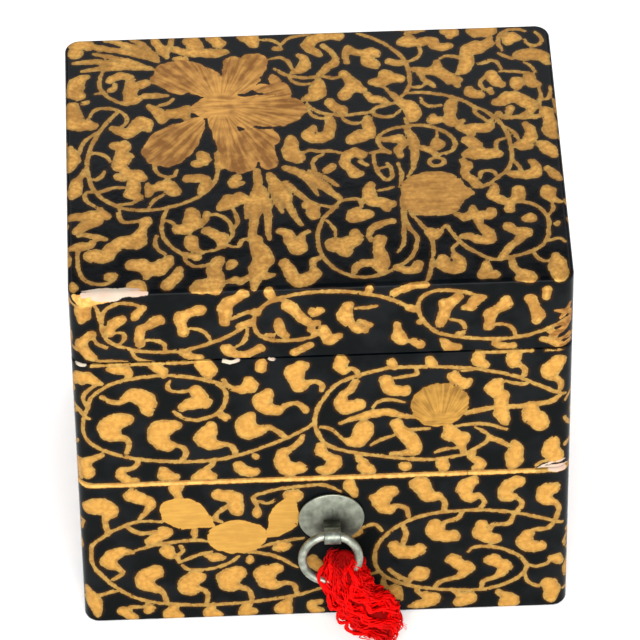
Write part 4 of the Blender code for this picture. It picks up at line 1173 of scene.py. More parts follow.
# The other faces carry the lower tier's scroll, pressed to the lower height
upper_other = raised(ringless, PAINT_FOOT, UPPER_STRETCH)
upper_wall = even_steps(UPPER_FOOT_ROW, UPPER_RIM - RIM_CHAMFER, GRID_STEP)
upper_paint_heights = np.concatenate([[UPPER_BASE], upper_wall, [65.98, 66.2]])
upper_under = [(SKIRT, RECESS_CEILING), (SKIRT, UPPER_BASE)]
upper_rows = (
    upper_under + [(WALL_ARRIS, UPPER_BASE)] + [(0.0, z) for z in upper_wall]
    + rim_and_lip(UPPER_RIM, UPPER_LIP_TOP, (60, 51, UPPER_FLOOR))
)
upper_outside = slice(len(upper_under), len(upper_under) + len(upper_paint_heights))
upper_side_gilt = gilt_line(UPPER_GILT_FOOT, 0.26, FULL_SIDE)
upper_fields = wall_fields(
    tier_outline, upper_rows, upper_outside, upper_paint_heights,
    gilt=(
        on_another_face(upper_other, SIDE_END, shift=-8.0) + upper_side_gilt,
        upper_front + gilt_line(UPPER_BASE, 0.16, (-47, 26), (26.8, 47))
        + gilt_line(UPPER_GILT_EDGE, 0.34, (-41.5, -22), (27.7, 37.6))
        + gilt_line(UPPER_GILT_EDGE, 0.2, (40, 43.4)),
        on_another_face(upper_other, SIDE_END, shift=8.0) + upper_side_gilt
        + gilt_line(UPPER_GILT_EDGE, 0.3, (-30, 6), (12, 33)),
        on_another_face(upper_other, BACK_END, flip=-1) + gilt_line(UPPER_GILT_FOOT, 0.26, FULL_FRONT)
        + gilt_line(UPPER_GILT_EDGE, 0.3, (-42, -8), (3, 40)),
    ),
    petal=([], upper_fruit, [], []),
    pale=([], leaf_strokes((
        (-44.6, 65.9, .15, -43.5, 65.8, .22, -42.5, 65.9, .1),
        (-17.8, 65.8, .2, -16.6, 65.5, .3, -15, 65.9, .15), (-9.6, 65.9, .15, -8.6, 65.8, .15),
        (39.2, 36.15, .2, 41.2, 36.3, .45, 43.2, 36.35, .5, 44.6, 36.2, .35),
        (39.4, 36.6, .08, 41.4, 37.5, .12, 44.2, 37.9, .1),
    )), [], []),
)
upper_lacquer = painted_lacquer(
    "black_lacquer_painted_gold_upper", (0.0214, -0.035, 0.0478), is_upright=True,
    petals=("#6E4E22", "#A57B38"), leaves=("#A07435", "#B28540"), browned=0.10,
)
place_piece(
    "upper_tier_shell",
    shell_mesh("upper_tier_shell", tier_outline, upper_rows, upper_fields, upper_outside),
    upper_lacquer, "box", "lacquer", "upper_tier",
)

# Lid: a flat board over a shallow frame, its top edge rounded. The top carries the main
# picture: an open flower with long blades and a bud among scrolls, in browner gold with fine
# brush streaks. The front left edge has lost its lacquer, down to the pale ground.
LID_BASE = 66.4
LID_TOP = 83.0
LID_CEILING = 80.6
LID_RECESS = 69.3
ARRIS = 0.9
ARRIS_START = LID_TOP - ARRIS
ARRIS_LENGTH = ARRIS * math.pi / 2
LID_STEP = 0.375
LID_FOOT = 66.21
EDGE_WALL_ROWS = 4

LID_VINES = (
    (-40.6, 15.2, -39.8, 12.5, -39.4, 9.5),
    (-31.7, 13.4, -34, 14.4, -36.5, 14.5, -38.5, 13, -39.2, 10.5, -39, 7.5, -38, 5.3, -35, 3.6, -32, 2.7,
     -28, 2.4, -24, 2.8, -20, 4.2, -16.5, 5.9, -14.5, 7.5, -13, 8.5),
    (-37, 7.5, -35.6, 7.3, -35.3, 6, -36, 4.8), (-41, 6.5, -40, 4.8, -38.5, 3.9),
    (-31.5, 5.5, -29.5, 5.2, -28.2, 4.3, -28.2, 3), (-23.5, 8, -21.8, 7.5, -20.6, 6.3, -20, 5),
    (-16.3, 9.8, -14.5, 10.8, -13, 11.5, -11.5, 11.6, -10.8, 12.2, -9.8, 13.4, -8, 14.1, -6.2, 14),
    (-11.5, 11.4, -12.1, 9.8, -12.1, 8, -11.4, 6, -9.7, 4.6, -6.2, 4.2, -3, 4.5, -.8, 5.5, 0, 6.3),
    (-9, 14.2, -6, 15, -3, 15.6, 0, 15.8, 4, 15.6, 8, 14.9, 12, 13.5, 15, 11.7, 17, 10.2),
    (-34, 2.5, -33.5, 1.2, -32, .4, -30.5, .1), (-40.5, .8, -38, .5, -35, .25),
    (-15.5, 3, -14.3, 4, -13.5, 5.8, -13.3, 7.5),
    (6, 11.5, 8, 11.6, 9.8, 11.9),
    (28.7, 13.2, 25, 14.6, 22, 15.1, 19.5, 14.8, 17.8, 13.6, 17.1, 11.5, 17.5, 9.3, 18.6, 7, 20.5, 5,
     23, 4, 27, 3.2, 31, 2.9, 35, 3.1, 38.5, 4.1, 41.5, 5.6, 43.5, 7),
    (22.8, 8, 24.8, 7.3, 25.5, 6, 25.2, 4.6), (31, 6.5, 33, 6.2, 34.2, 5, 34.5, 3.7),
)
LID_LEAVES = (
    (-42.3, 14, 1.4, -42.6, 12, 1.5, -42.8, 11, 1), (-31.8, 13.2, .7, -33, 11.9, .9, -33.3, 11.1, .8),
    (-35.5, 10.8, .9, -37, 10.2, .9, -37.7, 8.5, .9, -37.8, 7.3, .8),
    (-41.3, 7.2, 1, -42.5, 6, .8, -43.5, 4.5, .9, -42.3, 3, .9, -41.3, 1.6, 1),
    (-29.2, 10.2, 1.3, -31, 9.1, .6, -32.3, 8.2, 1, -32.5, 6.5, .9, -32.6, 4.5, .8),
    (-21.8, 12.3, 1.2, -24.2, 11.7, .9, -25.3, 10.8, 1, -25, 8.5, 1, -24.8, 7, 1),
    (-14, 15.7, 1, -16.5, 14.2, 1, -17.3, 12.5, 1.3, -17.3, 10.3, 1.1, -17.3, 9, .9),
    (-15, 8, .4, -14, 8.5, .8, -12.8, 8.7, .8), (-11.7, 11.2, .9, -12.2, 11.4, .7),
    (-6, 12.8, 1.3, -4.5, 11, 1, -3.5, 9.3, 1, -2, 8, .8, -1, 8.2, .7), (-1.5, 10.9, 1.1, -.3, 11.2, .8),
    (-2, 6.8, .7, -1.2, 5.5, .6), (-7.7, 9, .8, -7.8, 7.5, .9, -7.2, 6.2, 1, -6.6, 5.5, .8),
    (-10, 5.6, .4, -8.8, 5.6, .4), (-9.3, 16, 1, -9, 15, .8),
    (-24.7, 1.7, .9, -23.3, .9, .8, -22, .7, .7), (-24.6, 2.4, .5, -24, 2.8, .4),
    (-17.1, 2.9, 1, -16.9, 1.8, .8, -15, 1, .9, -13.8, 1.1, .9, -12.6, 1.7, .6, -11.3, 2.4, 1.1),
    (-4.9, 1.3, .9, -3.5, 2.2, .7, -2.2, 2.9, .7),
    (.2, 6.4, 1.1, .9, 4.6, 1.2, 1.3, 3.7, 1, 2.8, 4.9, .8), (4.8, 12.2, 1, 3.8, 10, 1.3, 4.5, 8.3, 1.2),
    (5.4, 7.6, .9, 6.3, 6.6, 1, 7.5, 6, .8), (6.6, 8.4, .5, 8.3, 7.3, .7),
    (13.3, 7.3, .7, 13.5, 5.7, .7, 13.7, 4.1, 1.4, 14.3, 3.4, 1.2), (15.9, 3.1, .5, 17.4, 2.3, 1.1),
    (8.5, 16, .8, 8.3, 15.2, .6), (12.8, 14.7, .8, 14.5, 15.7, .8, 16.5, 16.3, .6, 18.5, 16.5, .7),
    (15.6, 11.2, .8, 16.4, 10.6, .7), (17.8, 8.3, .4, 17.3, 7.5, .5),
    (29, 13.2, .4, 27.5, 12.5, 1.1, 26.5, 11, 1.1, 25.6, 10.7, .7),
    (24.3, 13.3, 1, 23.5, 12.3, .8, 21.8, 11.8, 1.1, 21.9, 9.5, .9, 21.3, 7.6, 1.1, 21.2, 6.9, .8),
    (25.2, 4.6, .4, 24.3, 4.4, .5),
    (32.8, 12.3, 1, 32.8, 11, 1, 31, 10, 1.1, 29.9, 9, 1, 29.9, 6.8, 1, 29.7, 5.8, .8),
    (40, 14.5, .8, 40, 12.6, .8), (37.2, 12.3, 1.1, 38, 10.3, .9, 38.6, 8.3, 1.2, 38.2, 7.1, .9),
    (21.3, 3.2, .3, 22, 2.4, .7, 22.6, 1.3, 1.1, 24, 1.1, .9),
    (31.3, 2.6, .5, 31, 1.6, .7, 32.5, 1, .8, 34, 1, .8),
    (39.4, 2.4, .5, 41, 1.9, .8, 42.3, 1.1, .9), (41, 4.3, .7, 41.6, 3.2, .6),
)
TOP_VINES = (
    (-35.2, 14.4, -37, 12, -38.7, 9, -40, 6, -40.8, 3, -41.2, 0, -41, -3, -40.3, -6.5, -38.5, -9.5,
     -35.5, -12, -32, -13, -28, -12.8, -24, -11.5, -20.5, -9.3, -18.3, -6.3, -17.5, -3, -17.3, 0),
    (-39.2, 8.6, -41.2, 6.8, -42.2, 4.8, -42.4, 3), (-38, -2, -38.5, -3.3, -39.5, -4.3, -40.3, -4.2),
    (-41.3, -7.5, -41.7, -9, -40.8, -10.8, -39, -12.2), (-41.3, -7.6, -39, -7.7, -36.5, -6.7, -34, -6.9),
    (-31.7, -9.8, -33, -11, -35, -11.3, -36.2, -11.6), (-27.5, -9, -29.3, -10.5, -30.2, -12.6),
    (-29, .2, -29, -1.5, -28.3, -3.2, -27, -4.2, -25.5, -4, -25, -2.5),
    (-35.5, -12.3, -35.6, -14.5, -34.8, -16, -32.5, -16, -31, -15.7),
    (-43, -22.7, -43.2, -25, -43, -28, -42.3, -30.5, -40.8, -32, -38.5, -32.3, -36.8, -31.3,
     -36.5, -30, -37.6, -29.6),
    (-27, -13.3, -27.6, -15, -28, -18, -27.5, -21, -26, -23.5, -24.3, -25.3, -23.8, -27, -22.3, -28.4,
     -20.3, -28.2, -19.3, -27.7),
    (-28, -15.7, -26.2, -16.5, -25, -18.4), (-20.8, -24.7, -18.5, -24.2, -17.2, -23, -15.3, -23.7),
    (-29, -20, -29.3, -22, -28.5, -24, -27.5, -25),
    (-19.8, -15.3, -18.3, -14.8, -16.5, -16, -15.5, -18, -15.4, -20.5, -16, -21.7),
    (-38, 25.7, -38.5, 24, -38.7, 22, -38.2, 20, -37, 18.3, -35.2, 16.8, -33.6, 16),
    (-39.5, 19.4, -38.2, 19.5), (-27.8, 15.5, -26.3, 16, -25.2, 17.3),
    (-40.6, 12.9, -39.8, 14.6, -38.3, 15.3, -36.3, 15, -34.7, 14, -33.8, 12.3, -34, 10.8, -35, 9.8),
    (-41, 2.7, -39.5, 2.9, -37.8, 2, -37, .5),
    (-8.6, 33.2, -6.8, 33, -5.3, 31.8, -5, 30.9), (-5, 31.5, -3.5, 33.3, -1.5, 34, .5, 34.4),
    (9.5, 34, 11.5, 33, 13.8, 31.3, 15.5, 29.5, 17, 27.5, 18, 25, 18.4, 22, 18.3, 19, 17.5, 16.8,
     16.6, 15.8),
    (-7, 27.6, -5.3, 28, -4, 27, -3.3, 25.5, -3, 23.8),
    (-6.3, 24.8, -5, 23.5, -3.5, 22.6, -1, 22, 1, 22.1, 2.5, 22.2, 4.5, 21.6, 6, 22.2),
    (-3.8, 22.5, -3, 21, -1.5, 20.2, .8, 20.3), (9.3, 9, 7.5, 8.7, 6, 9.7, 5.5, 11),
    (-.8, 14.8, 0, 13.5, 1.5, 12.2, 3.5, 11.4, 6, 11.1, 8.5, 11.4, 10.8, 11.8),
    (-.6, 12.8, .3, 11.3, 1.3, 10.6, 2.5, 10.5), (-1.7, 1.2, -.5, 1.8, 1, 1.3, 3, 1.4, 4.8, .7),
    (13, 19, 13.9, 18.2, 14.4, 17.2, 15.4, 16.2),
    (16, 14, 14.8, 14, 13.5, 13.4, 12, 13, 11.2, 12, 11.8, 10.8, 13.5, 10.3, 15, 10.6, 16.3, 12),
    (24, -.5, 25.2, .5, 25.8, 2.5, 25, 4.5, 22.8, 6.5, 20, 7.6, 17, 7.5, 14, 6.7, 12.3, 5.3, 11.8, 3.8,
     12.3, 2, 13.8, .7),
    (10, .5, 12.5, .8, 14, .2), (20.5, 30, 20.8, 28, 20, 26.5, 18.3, 25.5),
    (24.3, 26.2, 25.5, 26.8, 27, 26.6, 27.9, 26), (18.5, 18.4, 20, 18.3, 21.5, 19.2),
    (17.3, 16.6, 20, 16.8, 23, 16.3, 26, 15.2, 28.3, 13.8, 30, 12.2, 32, 10.8, 33.8, 8.5, 35, 6,
     35.7, 3, 35.9, 0, 35.7, -3, 34.8, -5.5, 33, -7.3, 31, -9.2, 29.8, -10),
    (20.2, 15.3, 20.6, 13.7, 22, 12.8, 23.8, 13), (30, 12.5, 29.9, 10.8, 31, 9.3, 32, 8, 32.3, 7),
    (33.2, 21, 32.3, 20.5, 31.3, 19, 31.7, 17.5, 32.8, 16.3), (35.2, 22, 37.5, 21.8, 40.3, 21.3),
    (31, 24.2, 32.5, 24.6, 33.8, 25.2, 34.8, 24.5, 35.4, 22.6), (39.8, 24.3, 41, 23, 41.7, 21.5),
    (36, 27.8, 35.3, 30, 35.7, 32, 37, 33.5, 39, 33.8, 40.5, 33.2), (35.2, 27.2, 36.2, 26.3, 37.6, 25.4),
    (40.3, 30.7, 40.8, 29.5, 42, 28.8, 43.2, 29.7, 43.3, 31.3, 42.3, 32.8),
    (41.9, 17.5, 42.3, 15, 41.9, 12.8, 41.7, 11.4), (42.3, 13.6, 43.6, 14, 44, 15.5, 44.1, 17.3),
    (35, 3.2, 33.7, 2.8, 33.2, 1.5, 33.4, -.4), (35.3, 6.4, 36.8, 4.5, 37.4, 2.6),
    (22.6, 6.4, 22.6, 4.2), (17, 9.6, 17.4, 7.4, 17.8, 5),
    (17.6, 1.6, 18.2, -1, 17.8, -4, 16.8, -6.4), (15.2, -2.5, 15.7, -6, 15.2, -9),
    (15.3, -12, 15.6, -15, 15.8, -18, 16.5, -20.5, 17.6, -22.6, 17.3, -25, 16.5, -27.5, 15.2, -29.2,
     13, -31, 10.5, -32.3, 7.5, -32.8, 4.5, -31.8, 2.3, -30, .8, -27.5, 0, -25, -.2, -22, .3, -19,
     1.3, -16.5, 2.8, -14.5, 4.5, -12.3, 6, -12, 7.5, -12, 8, -13, 8, -14.4),
    (16.5, -16, 18, -18.5, 19.5, -21.5, 20.2, -24, 20.3, -27, 19.8, -30, 19.3, -32.5, 18.8, -34.3),
    (21.8, -21, 23, -19.8, 23.5, -21, 24.2, -22.5, 25, -24, 26.5, -26, 28.5, -27.8, 30.3, -29, 32, -29.4,
     33.5, -28.9, 36, -28.2, 38.5, -27, 40, -25.7, 41, -23.5, 41.3, -21, 41.3, -18.8, 40.5, -16.8,
     39, -15, 37, -14.2, 35.2, -14.4),
    (24, -27.5, 23.8, -26, 24.8, -24.6), (42.3, -14.5, 42.4, -16.2, 41.6, -17.8),
    (36, -2.6, 37, -4.5, 37.5, -6), (29.8, -7.4, 30, -6, 31, -5.4, 32.3, -5.8, 32.8, -7),
    (22, -1, 20.8, -2.4, 21.3, -3.5, 22.6, -3.6, 23.5, -2.8, 23.2, -1.8, 21.9, -1.5), (24.9, .3, 22.8, -.6),
    (41.3, -24.7, 43, -24.3, 44, -25.2), (38.1, -27.6, 38.8, -29.3, 40.2, -30.2, 41.3, -29.6),
    (1.8, .6, .3, -.5, -.3, -2, .2, -4), (10.8, .4, 10.9, -2.5, 11.5, -5, 12.8, -7, 13.8, -6.5,
     13.8, -4, 13.2, -2.6), (11.3, -4, 13.4, -3.4),
    (15.2, -13.8, 15.4, -17, 15.3, -21, 15, -24.5, 14, -26.5), (-15.3, -13, -14.6, -15, -14.3, -17,
     -15, -18.6), (-15, -23.7, -14.3, -23.5, -13.8, -22, -12.6, -21.5),
    (1.6, -17.4, 2.9, -19.8, 3, -21.8), (11.3, -9.8, 12.8, -9.5, 14, -9), (.6, -13.3, 2.4, -13.9, 3.6, -14.1),
)
TOP_LEAVES = (
    (-44.3, 4.5, .5, -43.7, 2, 1.1, -43.9, 0, 1, -44.4, -1.5, .5), (-41.6, -1.6, .35, -42.2, -3.2, .5,
     -43.1, -5, .9, -43.4, -7.3, 1.2, -44, -8.7, .7),
    (-34.6, -1.4, .8, -34, -3, 1, -32.5, -3.5, 1.4, -31.5, -4.4, .9), (-35.5, -3.8, .8, -34.4, -4.2, .7),
    (-32.8, -4.5, 1, -32.8, -7.3, 1.1, -33.5, -8.5, 1, -32, -9.6, .8),
    (-30.3, -6, .4, -30, -7.6, .8, -30.3, -9, .6), (-29.6, -7.3, .8, -27, -6.5, 1.2, -25.6, -8.2, 1.2),
    (-26.8, -5.3, .6, -26.6, -6.4, .8), (-23, -4.9, .9, -21.2, -5, 1, -19.6, -4.9, .6),
    (-19.8, -5, .7, -20, -6.7, .9, -20.7, -8.8, .7), (-21.4, -.9, .8, -20.8, -1, .8),
    (-20.6, 1.7, .8, -19.8, .7, 1.2, -19.9, -.5, .8),
    (-17, .8, 1.3, -17, -1.5, 1), (-15.6, -11, 1.3, -16.6, -12.5, 1.1, -17.2, -13.2, .7),
    (-44, -14.4, .9, -41.5, -14.2, 1, -38.8, -14, 1.2, -38, -14.4, .8),
    (-39.8, -15.4, 1.3, -42.2, -17, 1, -43, -18.3, .8), (-39, -12.3, .45, -38.6, -13.4, .6),
    (-43, -19.3, .35, -41.5, -19.2, .45, -39.8, -20, .7, -38, -20.5, .35),
    (-44.3, -22.6, .7, -42.5, -22.3, .9, -41, -22, .8, -40.3, -21, .5),
    (-30.8, -16, 1, -31.4, -18, .8, -32.2, -19.8, 1.1, -32.6, -21.3, 1.7, -35.5, -21.6, 1.4,
     -37, -23.3, 1.3, -38.6, -25.2, 1.4, -40.2, -24.8, 1.6),
    (-37.6, -30.4, .9, -37.2, -30.4, .9),
    (-33.2, -27.5, 1.4, -31.5, -28, 1.5, -31, -30, .8, -31, -31, .4), (-29, -28.8, 1.7, -27.8, -27.6, 1.3,
     -26.9, -26.3, .8, -26.8, -25.7, .4), (-30.6, -28.4, 1.3, -29.4, -28.6, 1.5),
    (-25, -29.2, .7, -25.5, -30.5, .9, -26.9, -32.6, 1.2, -27.3, -33.4, 1),
    (-32.7, -33.2, 1.5, -32.5, -33.6, 1.5),
    (-18, -26.8, .9, -18.7, -28.8, 1.2, -18.7, -31.5, 1.3, -18.5, -33.3, 1.3, -21, -33.3, 1.4,
     -22.3, -34, .9), (-22.5, -34.5, .6, -18.6, -34.4, 1),
    (-25, -18.6, 1.1, -23.4, -18.3, 1.2, -22.5, -16.8, 1.4, -22.6, -14.2, 1.2), (-21.6, -17.7, .7,
     -20.2, -16, .6, -19.8, -14.4, .5),
    (-22.7, -21.3, 1.1, -22.8, -22.8, 1.1, -22, -24, .7, -21, -24.8, .5), (-24.3, -25, .5, -22, -26, .8),
    (-19.8, -19.2, .9, -18.3, -20.2, 1, -17.2, -21.3, 1.2, -17.3, -23, .8),
    (-15.5, -28, .9, -16.2, -29, .6), (-15.3, -32.5, .8, -16.5, -32.7, .5),
    (-44.2, -32, .5, -43.9, -33.2, .7),
    (-42.8, 33.2, 1.3, -41, 33.4, 1.1, -40.6, 32.6, .8), (-43.1, 31.2, 1.2, -43, 30.8, 1.2),
    (-41.8, 25.9, .3, -38.5, 26.5, .6, -35.8, 26.6, .7, -33, 26.3, .4, -29, 25.9, .3),
    (-43.5, 28.2, .3, -40, 28.5, .6, -36.8, 28, .7, -33.5, 27, .8, -30.5, 26.3, .5),
    (-39.7, 30.7, .25, -37, 29.8, .45, -34, 28.5, .7, -31.5, 27.2, .6, -29, 25.9, .4),
    (-39.9, 33, .5, -38.5, 32.2, .7, -35.5, 31.5, .6, -32, 30.3, .7, -29.5, 29.1, .6, -27.8, 28, .4),
    (-37.5, 34.6, .4, -35, 33.6, .6, -32, 32, .7, -29.8, 30.2, .6, -27.9, 28.3, .4),
    (-32.5, 34.5, .4, -30.8, 33, .55, -29.3, 31, .5, -28, 29, .4),
    (-28.6, 34.8, .5, -27.8, 33, .8, -27, 31, .8, -26.2, 29.3, .5),
    (-25, 34.8, .3, -25.5, 32.5, .5, -26.2, 29.5, .4),
    (-24.3, 31, .8, -22.5, 30.3, .8, -20.5, 30, 1, -17.5, 29.8, 1, -15.5, 30, .8),
    (-21.5, 33.4, 1.4, -20.8, 31.5, 1.3), (-17.5, 34, 1.2, -16.3, 32.4, 1), (-24.6, 28.6, .5, -23, 28.4, .8),
    (-36.9, 22.8, .6, -36, 23.8, .8, -34.5, 24.3, .8, -33.2, 23.7, .7, -32.4, 23, .5),
    (-35.8, 21.9, .35, -35.9, 20.9, .5, -36.7, 20.3, .6),
    (-33, 22.7, .7, -32.7, 20.5, 1.2, -33.2, 18.5, 1.1, -33.6, 16.8, .7), (-32, 21, 1, -30.3, 22, .9),
    (-32, 17.5, 1, -33.2, 17, .9), (-30.5, 18.3, .6, -28.5, 18.3, .6, -26.3, 18.2, .35),
    (-41, 24.2, .5, -42.5, 23.2, 1.2, -43.1, 21.5, 1.4, -43.3, 19.6, 1.4, -42.2, 18.9, 1),
    (-41.5, 17, .5, -41.1, 17.1, .5), (-43.9, 16, 1.1, -43.5, 13.5, 1.4, -43.4, 11.2, 1.6, -41.2, 10.8, 1.3,
     -39.9, 10.5, .8),
    (-36.4, 9.5, .7, -35, 8.7, .9, -33.5, 8, 1.1, -32.6, 9, 1.2, -31.3, 11, 1.4, -30.1, 10.5, 1.1,
     -30, 9.3, .8),
    (-29.7, 15.5, .5, -28.5, 14.2, .9, -27.3, 12.5, 1.2, -27.3, 11, .6), (-27, 13.2, .9, -23.8, 13.3, 1.3,
     -22.8, 14.2, .9), (-23.2, 13, .9, -23, 12, .7),
    (-35.8, 4.8, 1.1, -34.4, 4.6, 1.1, -35, 2.8, 1, -34.7, .8, 1.4, -35.5, -.9, 1.1),
    (-33.5, 1.7, .7, -34.4, 1.3, .7),
    (-12.3, 34.3, .7, -10.6, 33.6, 1.4, -10, 31.7, .7), (-6, 30.6, .5, -5.3, 30.4, .5),
    (6, 33.4, .9, 3.5, 33.8, 1.1, 1.8, 33.2, 1.2, .3, 31.7, 1.1, -.2, 30.5, .8, 1, 29.4, .8, 2.3, 28.3, .5),
    (2.8, 31, .5, 4.2, 29.2, .5, 5, 27.5, .5, 4.8, 25.8, .8, 3.6, 24.8, .7, 2.5, 23.5, .6, 1.9, 22.7, .6),
    (7, 26, .5, 6.9, 28, .5, 7.5, 30, .7, 8.5, 28.9, .7, 10.5, 28.4, .9, 12.2, 28.6, 1, 12.8, 27.8, .6),
    (10.9, 27.6, 1, 11.1, 25.6, 1.1, 12.2, 25.2, .9, 12.2, 24.4, .6), (15, 25.8, .8, 16.8, 25.2, .7),
    (-1.8, 28.5, .4, -.8, 27.5, .7, -.7, 25.8, 1, -1.5, 24.3, .8, -3, 23.7, .5),
    (1.8, 20.8, .7, 1.5, 18.8, 1.4, 1.1, 17, 1.3, -.5, 16.3, .8, -1, 15.8, .5),
    (6.5, 22.7, .9, 7.3, 21, .9, 8.2, 19.3, 1.2, 9.4, 18, .8), (7.2, 18.3, 1, 6.3, 17, 1.1, 6.2, 16, .7),
    (3.5, 15.3, .7, 3.9, 14, 1, 5.3, 12.8, 1, 6, 11.7, .6),
    (3, 11.3, .4, 3.3, 9.5, .8, 3.1, 7.3, 1, 2.5, 5.6, 1.2, .3, 5, 1.2, -1, 5.8, 1, -.1, 7.2, .8, .3, 8.2,
     .4),
    (-4, 5.2, .8, -4, 3, 1.2, -4.2, 1, 1.5, -3, -.3, 1.3),
    (10.3, 10, .7, 10.2, 8.5, 1, 10.3, 6, 1.1, 9.3, 5, 1.1, 7.5, 4.5, 1.2, 6.9, 3.8, .7),
    (8.6, 6.6, .4, 7.9, 5.6, .8),
    (14.2, 22.3, 1.1, 13.3, 20.9, .9, 11.4, 20.1, .7), (12.6, 19.6, .8, 15, 21.2, 1.3, 16.6, 20.7, 1),
    (10.5, 16.5, .7, 11.3, 15.5, .8, 12.8, 15, .8, 14, 14.3, .6),
    (8.6, .2, 1, 7.4, .8, 1, 6, -.3, 1, 5.5, -2, .9, 6.3, -3.5, .9, 7.3, -5, 1.1, 8.2, -5, .6),
    (8.3, -1.8, .4, 9.5, -2.8, .4), (2.2, -3.9, .7, 3, -3, .8), (12.6, 4.2, .5, 14, 3.9, .7, 15.6, 4.2, .9,
     16.4, 2.8, .6, 15.4, 1, .7, 15.6, -.6, .6),
    (18.6, 33.6, .4, 20, 34.2, .5, 21.6, 34.4, .4), (25.8, 34, .9, 27, 33.5, 1.1, 26.5, 32.4, .7),
    (31, 33.6, 1.2, 33, 34, 1.2, 34.2, 33.8, 1), (31.2, 32.8, .8, 33.6, 32.8, .9),
    (19, 32.2, .8, 17.8, 31.2, 1.1, 20, 31, 1, 23, 31.2, 1.1, 23.5, 29.9, 1, 25.3, 29.4, .9, 26.2, 29.8, .6),
    (34, 31.5, .5, 33, 29.7, 1.1, 30.5, 28.7, 1.6, 29.2, 28, 1.1, 29.4, 26, 1.1, 29, 24, 1.2, 28.3, 22.5, .9,
     27.5, 21.7, .5),
    (23.8, 25.3, .5, 23.7, 23.9, .8), (19.5, 23.4, .6, 21.5, 22.8, .9, 24, 22.4, 1.2, 25, 21.5, 1.1,
     26.2, 20, 1.2, 27.3, 20, .8), (26.7, 19.2, .7, 27.3, 18.2, .4),
    (20.5, 22, .6, 21, 20.5, .45, 22, 19.5, .5, 22.9, 18.2, .3),
    (15.2, 16.4, .5, 16.3, 14.4, .8, 18, 13, 1.3, 18.6, 11.4, 1.4, 18.5, 9.8, 1.1),
    (25.7, 13.6, .9, 25.5, 12, 1, 25.3, 10, 1, 25.5, 8.2, 1.1, 24.4, 8.8, .7),
    (22.2, 10.1, .5, 22, 8.9, 1, 23.6, 9, .6),
    (27.6, 8.5, .4, 26.5, 7.8, .5, 28, 6, 1, 29.5, 6.4, 1, 31.5, 6.3, 1.1, 32.4, 7.3, .7, 32.7, 8.2, .4),
    (28.8, 4.9, .7, 28.4, 5.8, .8), (29.2, 17.2, .8, 29.6, 15.9, 1, 31, 15.5, .9),
    (33.4, 21.2, 1, 34, 19.4, 1.1, 35.1, 18.4, .8), (33, 17, .5, 33.3, 16, .5),
    (39.4, 26.3, 1.3, 41, 26.5, 1.4, 43, 26.2, 1.3, 43.6, 25, .9, 44.3, 23.9, .5),
    (37.3, 30.2, .8, 37.7, 31.5, 1.4, 38.7, 31.3, .9), (38.1, 19.3, .9, 38, 17.9, 1.1, 38.9, 18.6, .6),
    (40.5, 20.3, .9, 40.8, 18.6, 1.1, 41.6, 18, .8),
    (33.9, 13.3, .8, 35.1, 13.4, 1.1, 36, 14.7, 1.2, 38, 14.3, 1.3, 39.6, 12.9, 1.3, 40.3, 11.5, 1,
     39.8, 10.2, .7, 38.6, 9.6, .4),
    (36.4, 11.6, .7, 36.1, 10, .5, 36.2, 9.2, .4), (34.1, 10.2, .5, 35, 9.1, .45, 37.5, 9, .45, 40, 8.9, .5,
     41.8, 9.2, .5, 42.9, 10.6, .9, 43.3, 8.5, 1.1, 43.4, 6, 1.2, 43.2, 4.6, 1.1, 43.9, 3.3, .7),
    (39, 7, .6, 39.6, 5.3, .9, 39.6, 3.5, 1.1, 38.6, 2, 1, 37.4, 1.4, .9), (41.5, 1.2, .9, 42.7, 0, 1.3,
     43.5, -1.7, .8),
    (28.2, 3, 1, 29.4, 1.9, 1.1, 29.9, .9, .5),
    (27.9, -.8, .9, 29.5, -.6, 1.4, 31.5, -.8, 1.3, 33.3, -.9, .9),
    (22.6, 3, .8, 22.6, 2.2, 1.2, 21.8, 2.3, .6), (20, 1.3, .7, 21.3, .5, .6, 22.2, -.9, .6),
    (17.2, 6.8, .4, 17.8, 5, .7, 18.4, 3, .8, 18.5, 1.2, .7, 18.3, -1, .6, 17.9, -3.5, .45),
    (20, -21.5, 1, 20.8, -22.4, .9, 21.6, -21.2, .6), (21.8, -28.7, 1, 22, -30.4, 1.3, 24.2, -31.2, 1.3,
     24.9, -29.4, 1, 24, -27.6, .5),
    (25.8, -22.8, .5, 27.2, -23, .8, 28.8, -24, 1, 30.5, -23.7, 1.1, 30.2, -22, 1, 29, -20, .7, 28.8,
     -18.6, .8),
    (25, -17, .5, 26.5, -17.8, .9, 27.9, -16.7, .9, 28, -15.2, .4), (28.2, -17.7, .8, 29.6, -17.3, 1,
     31.1, -17.3, 1, 31.2, -16.1, .7),
    (34, -20.8, 1, 35.3, -21.8, .8, 37, -22.4, 1.1, 37.4, -22.6, .9), (36.6, -23.2, .8, 35.6, -24.4, .7,
     34.3, -25.7, .7, 33.2, -27.3, .6, 32.5, -28.9, .6),
    (38, -18.7, 1.1, 37.4, -18.8, .8), (32.3, -9.4, .4, 32.2, -11, .9, 31.7, -12, 1, 33.2, -13.5, .9,
     34.5, -14.5, .8, 34.7, -16.2, .8),
    (36.5, -11, 1.1, 36.3, -12.6, 1.1, 35, -14, .6),
    (41.8, -11.5, 1.3, 42, -13, 1.1, 43, -14, .6, 43.9, -14.5, .3),
    (42.1, -5.4, .6, 43.1, -6.8, .9, 44, -8.2, .6), (39.5, -3.5, .7, 40.2, -4.8, .8, 39.6, -6.7, 1.1,
     37.6, -6.9, 1, 35.5, -6.4, .7),
    (38, .8, .9, 39, .9, .9), (27, -2.6, .7, 27.7, -4, .8, 27, -5.8, .8, 28.2, -7.6, .8, 29, -9.2, .9),
    (43, -20, .4, 42.8, -20.5, .5), (42, -29, .8, 42.2, -31, 1.4, 42.3, -33, 1.5, 42.5, -34.3, 1),
    (29.5, -30.3, .6, 29.3, -32, 1, 28.7, -33.4, .9), (29.6, -33.2, .9, 31, -33.2, .9),
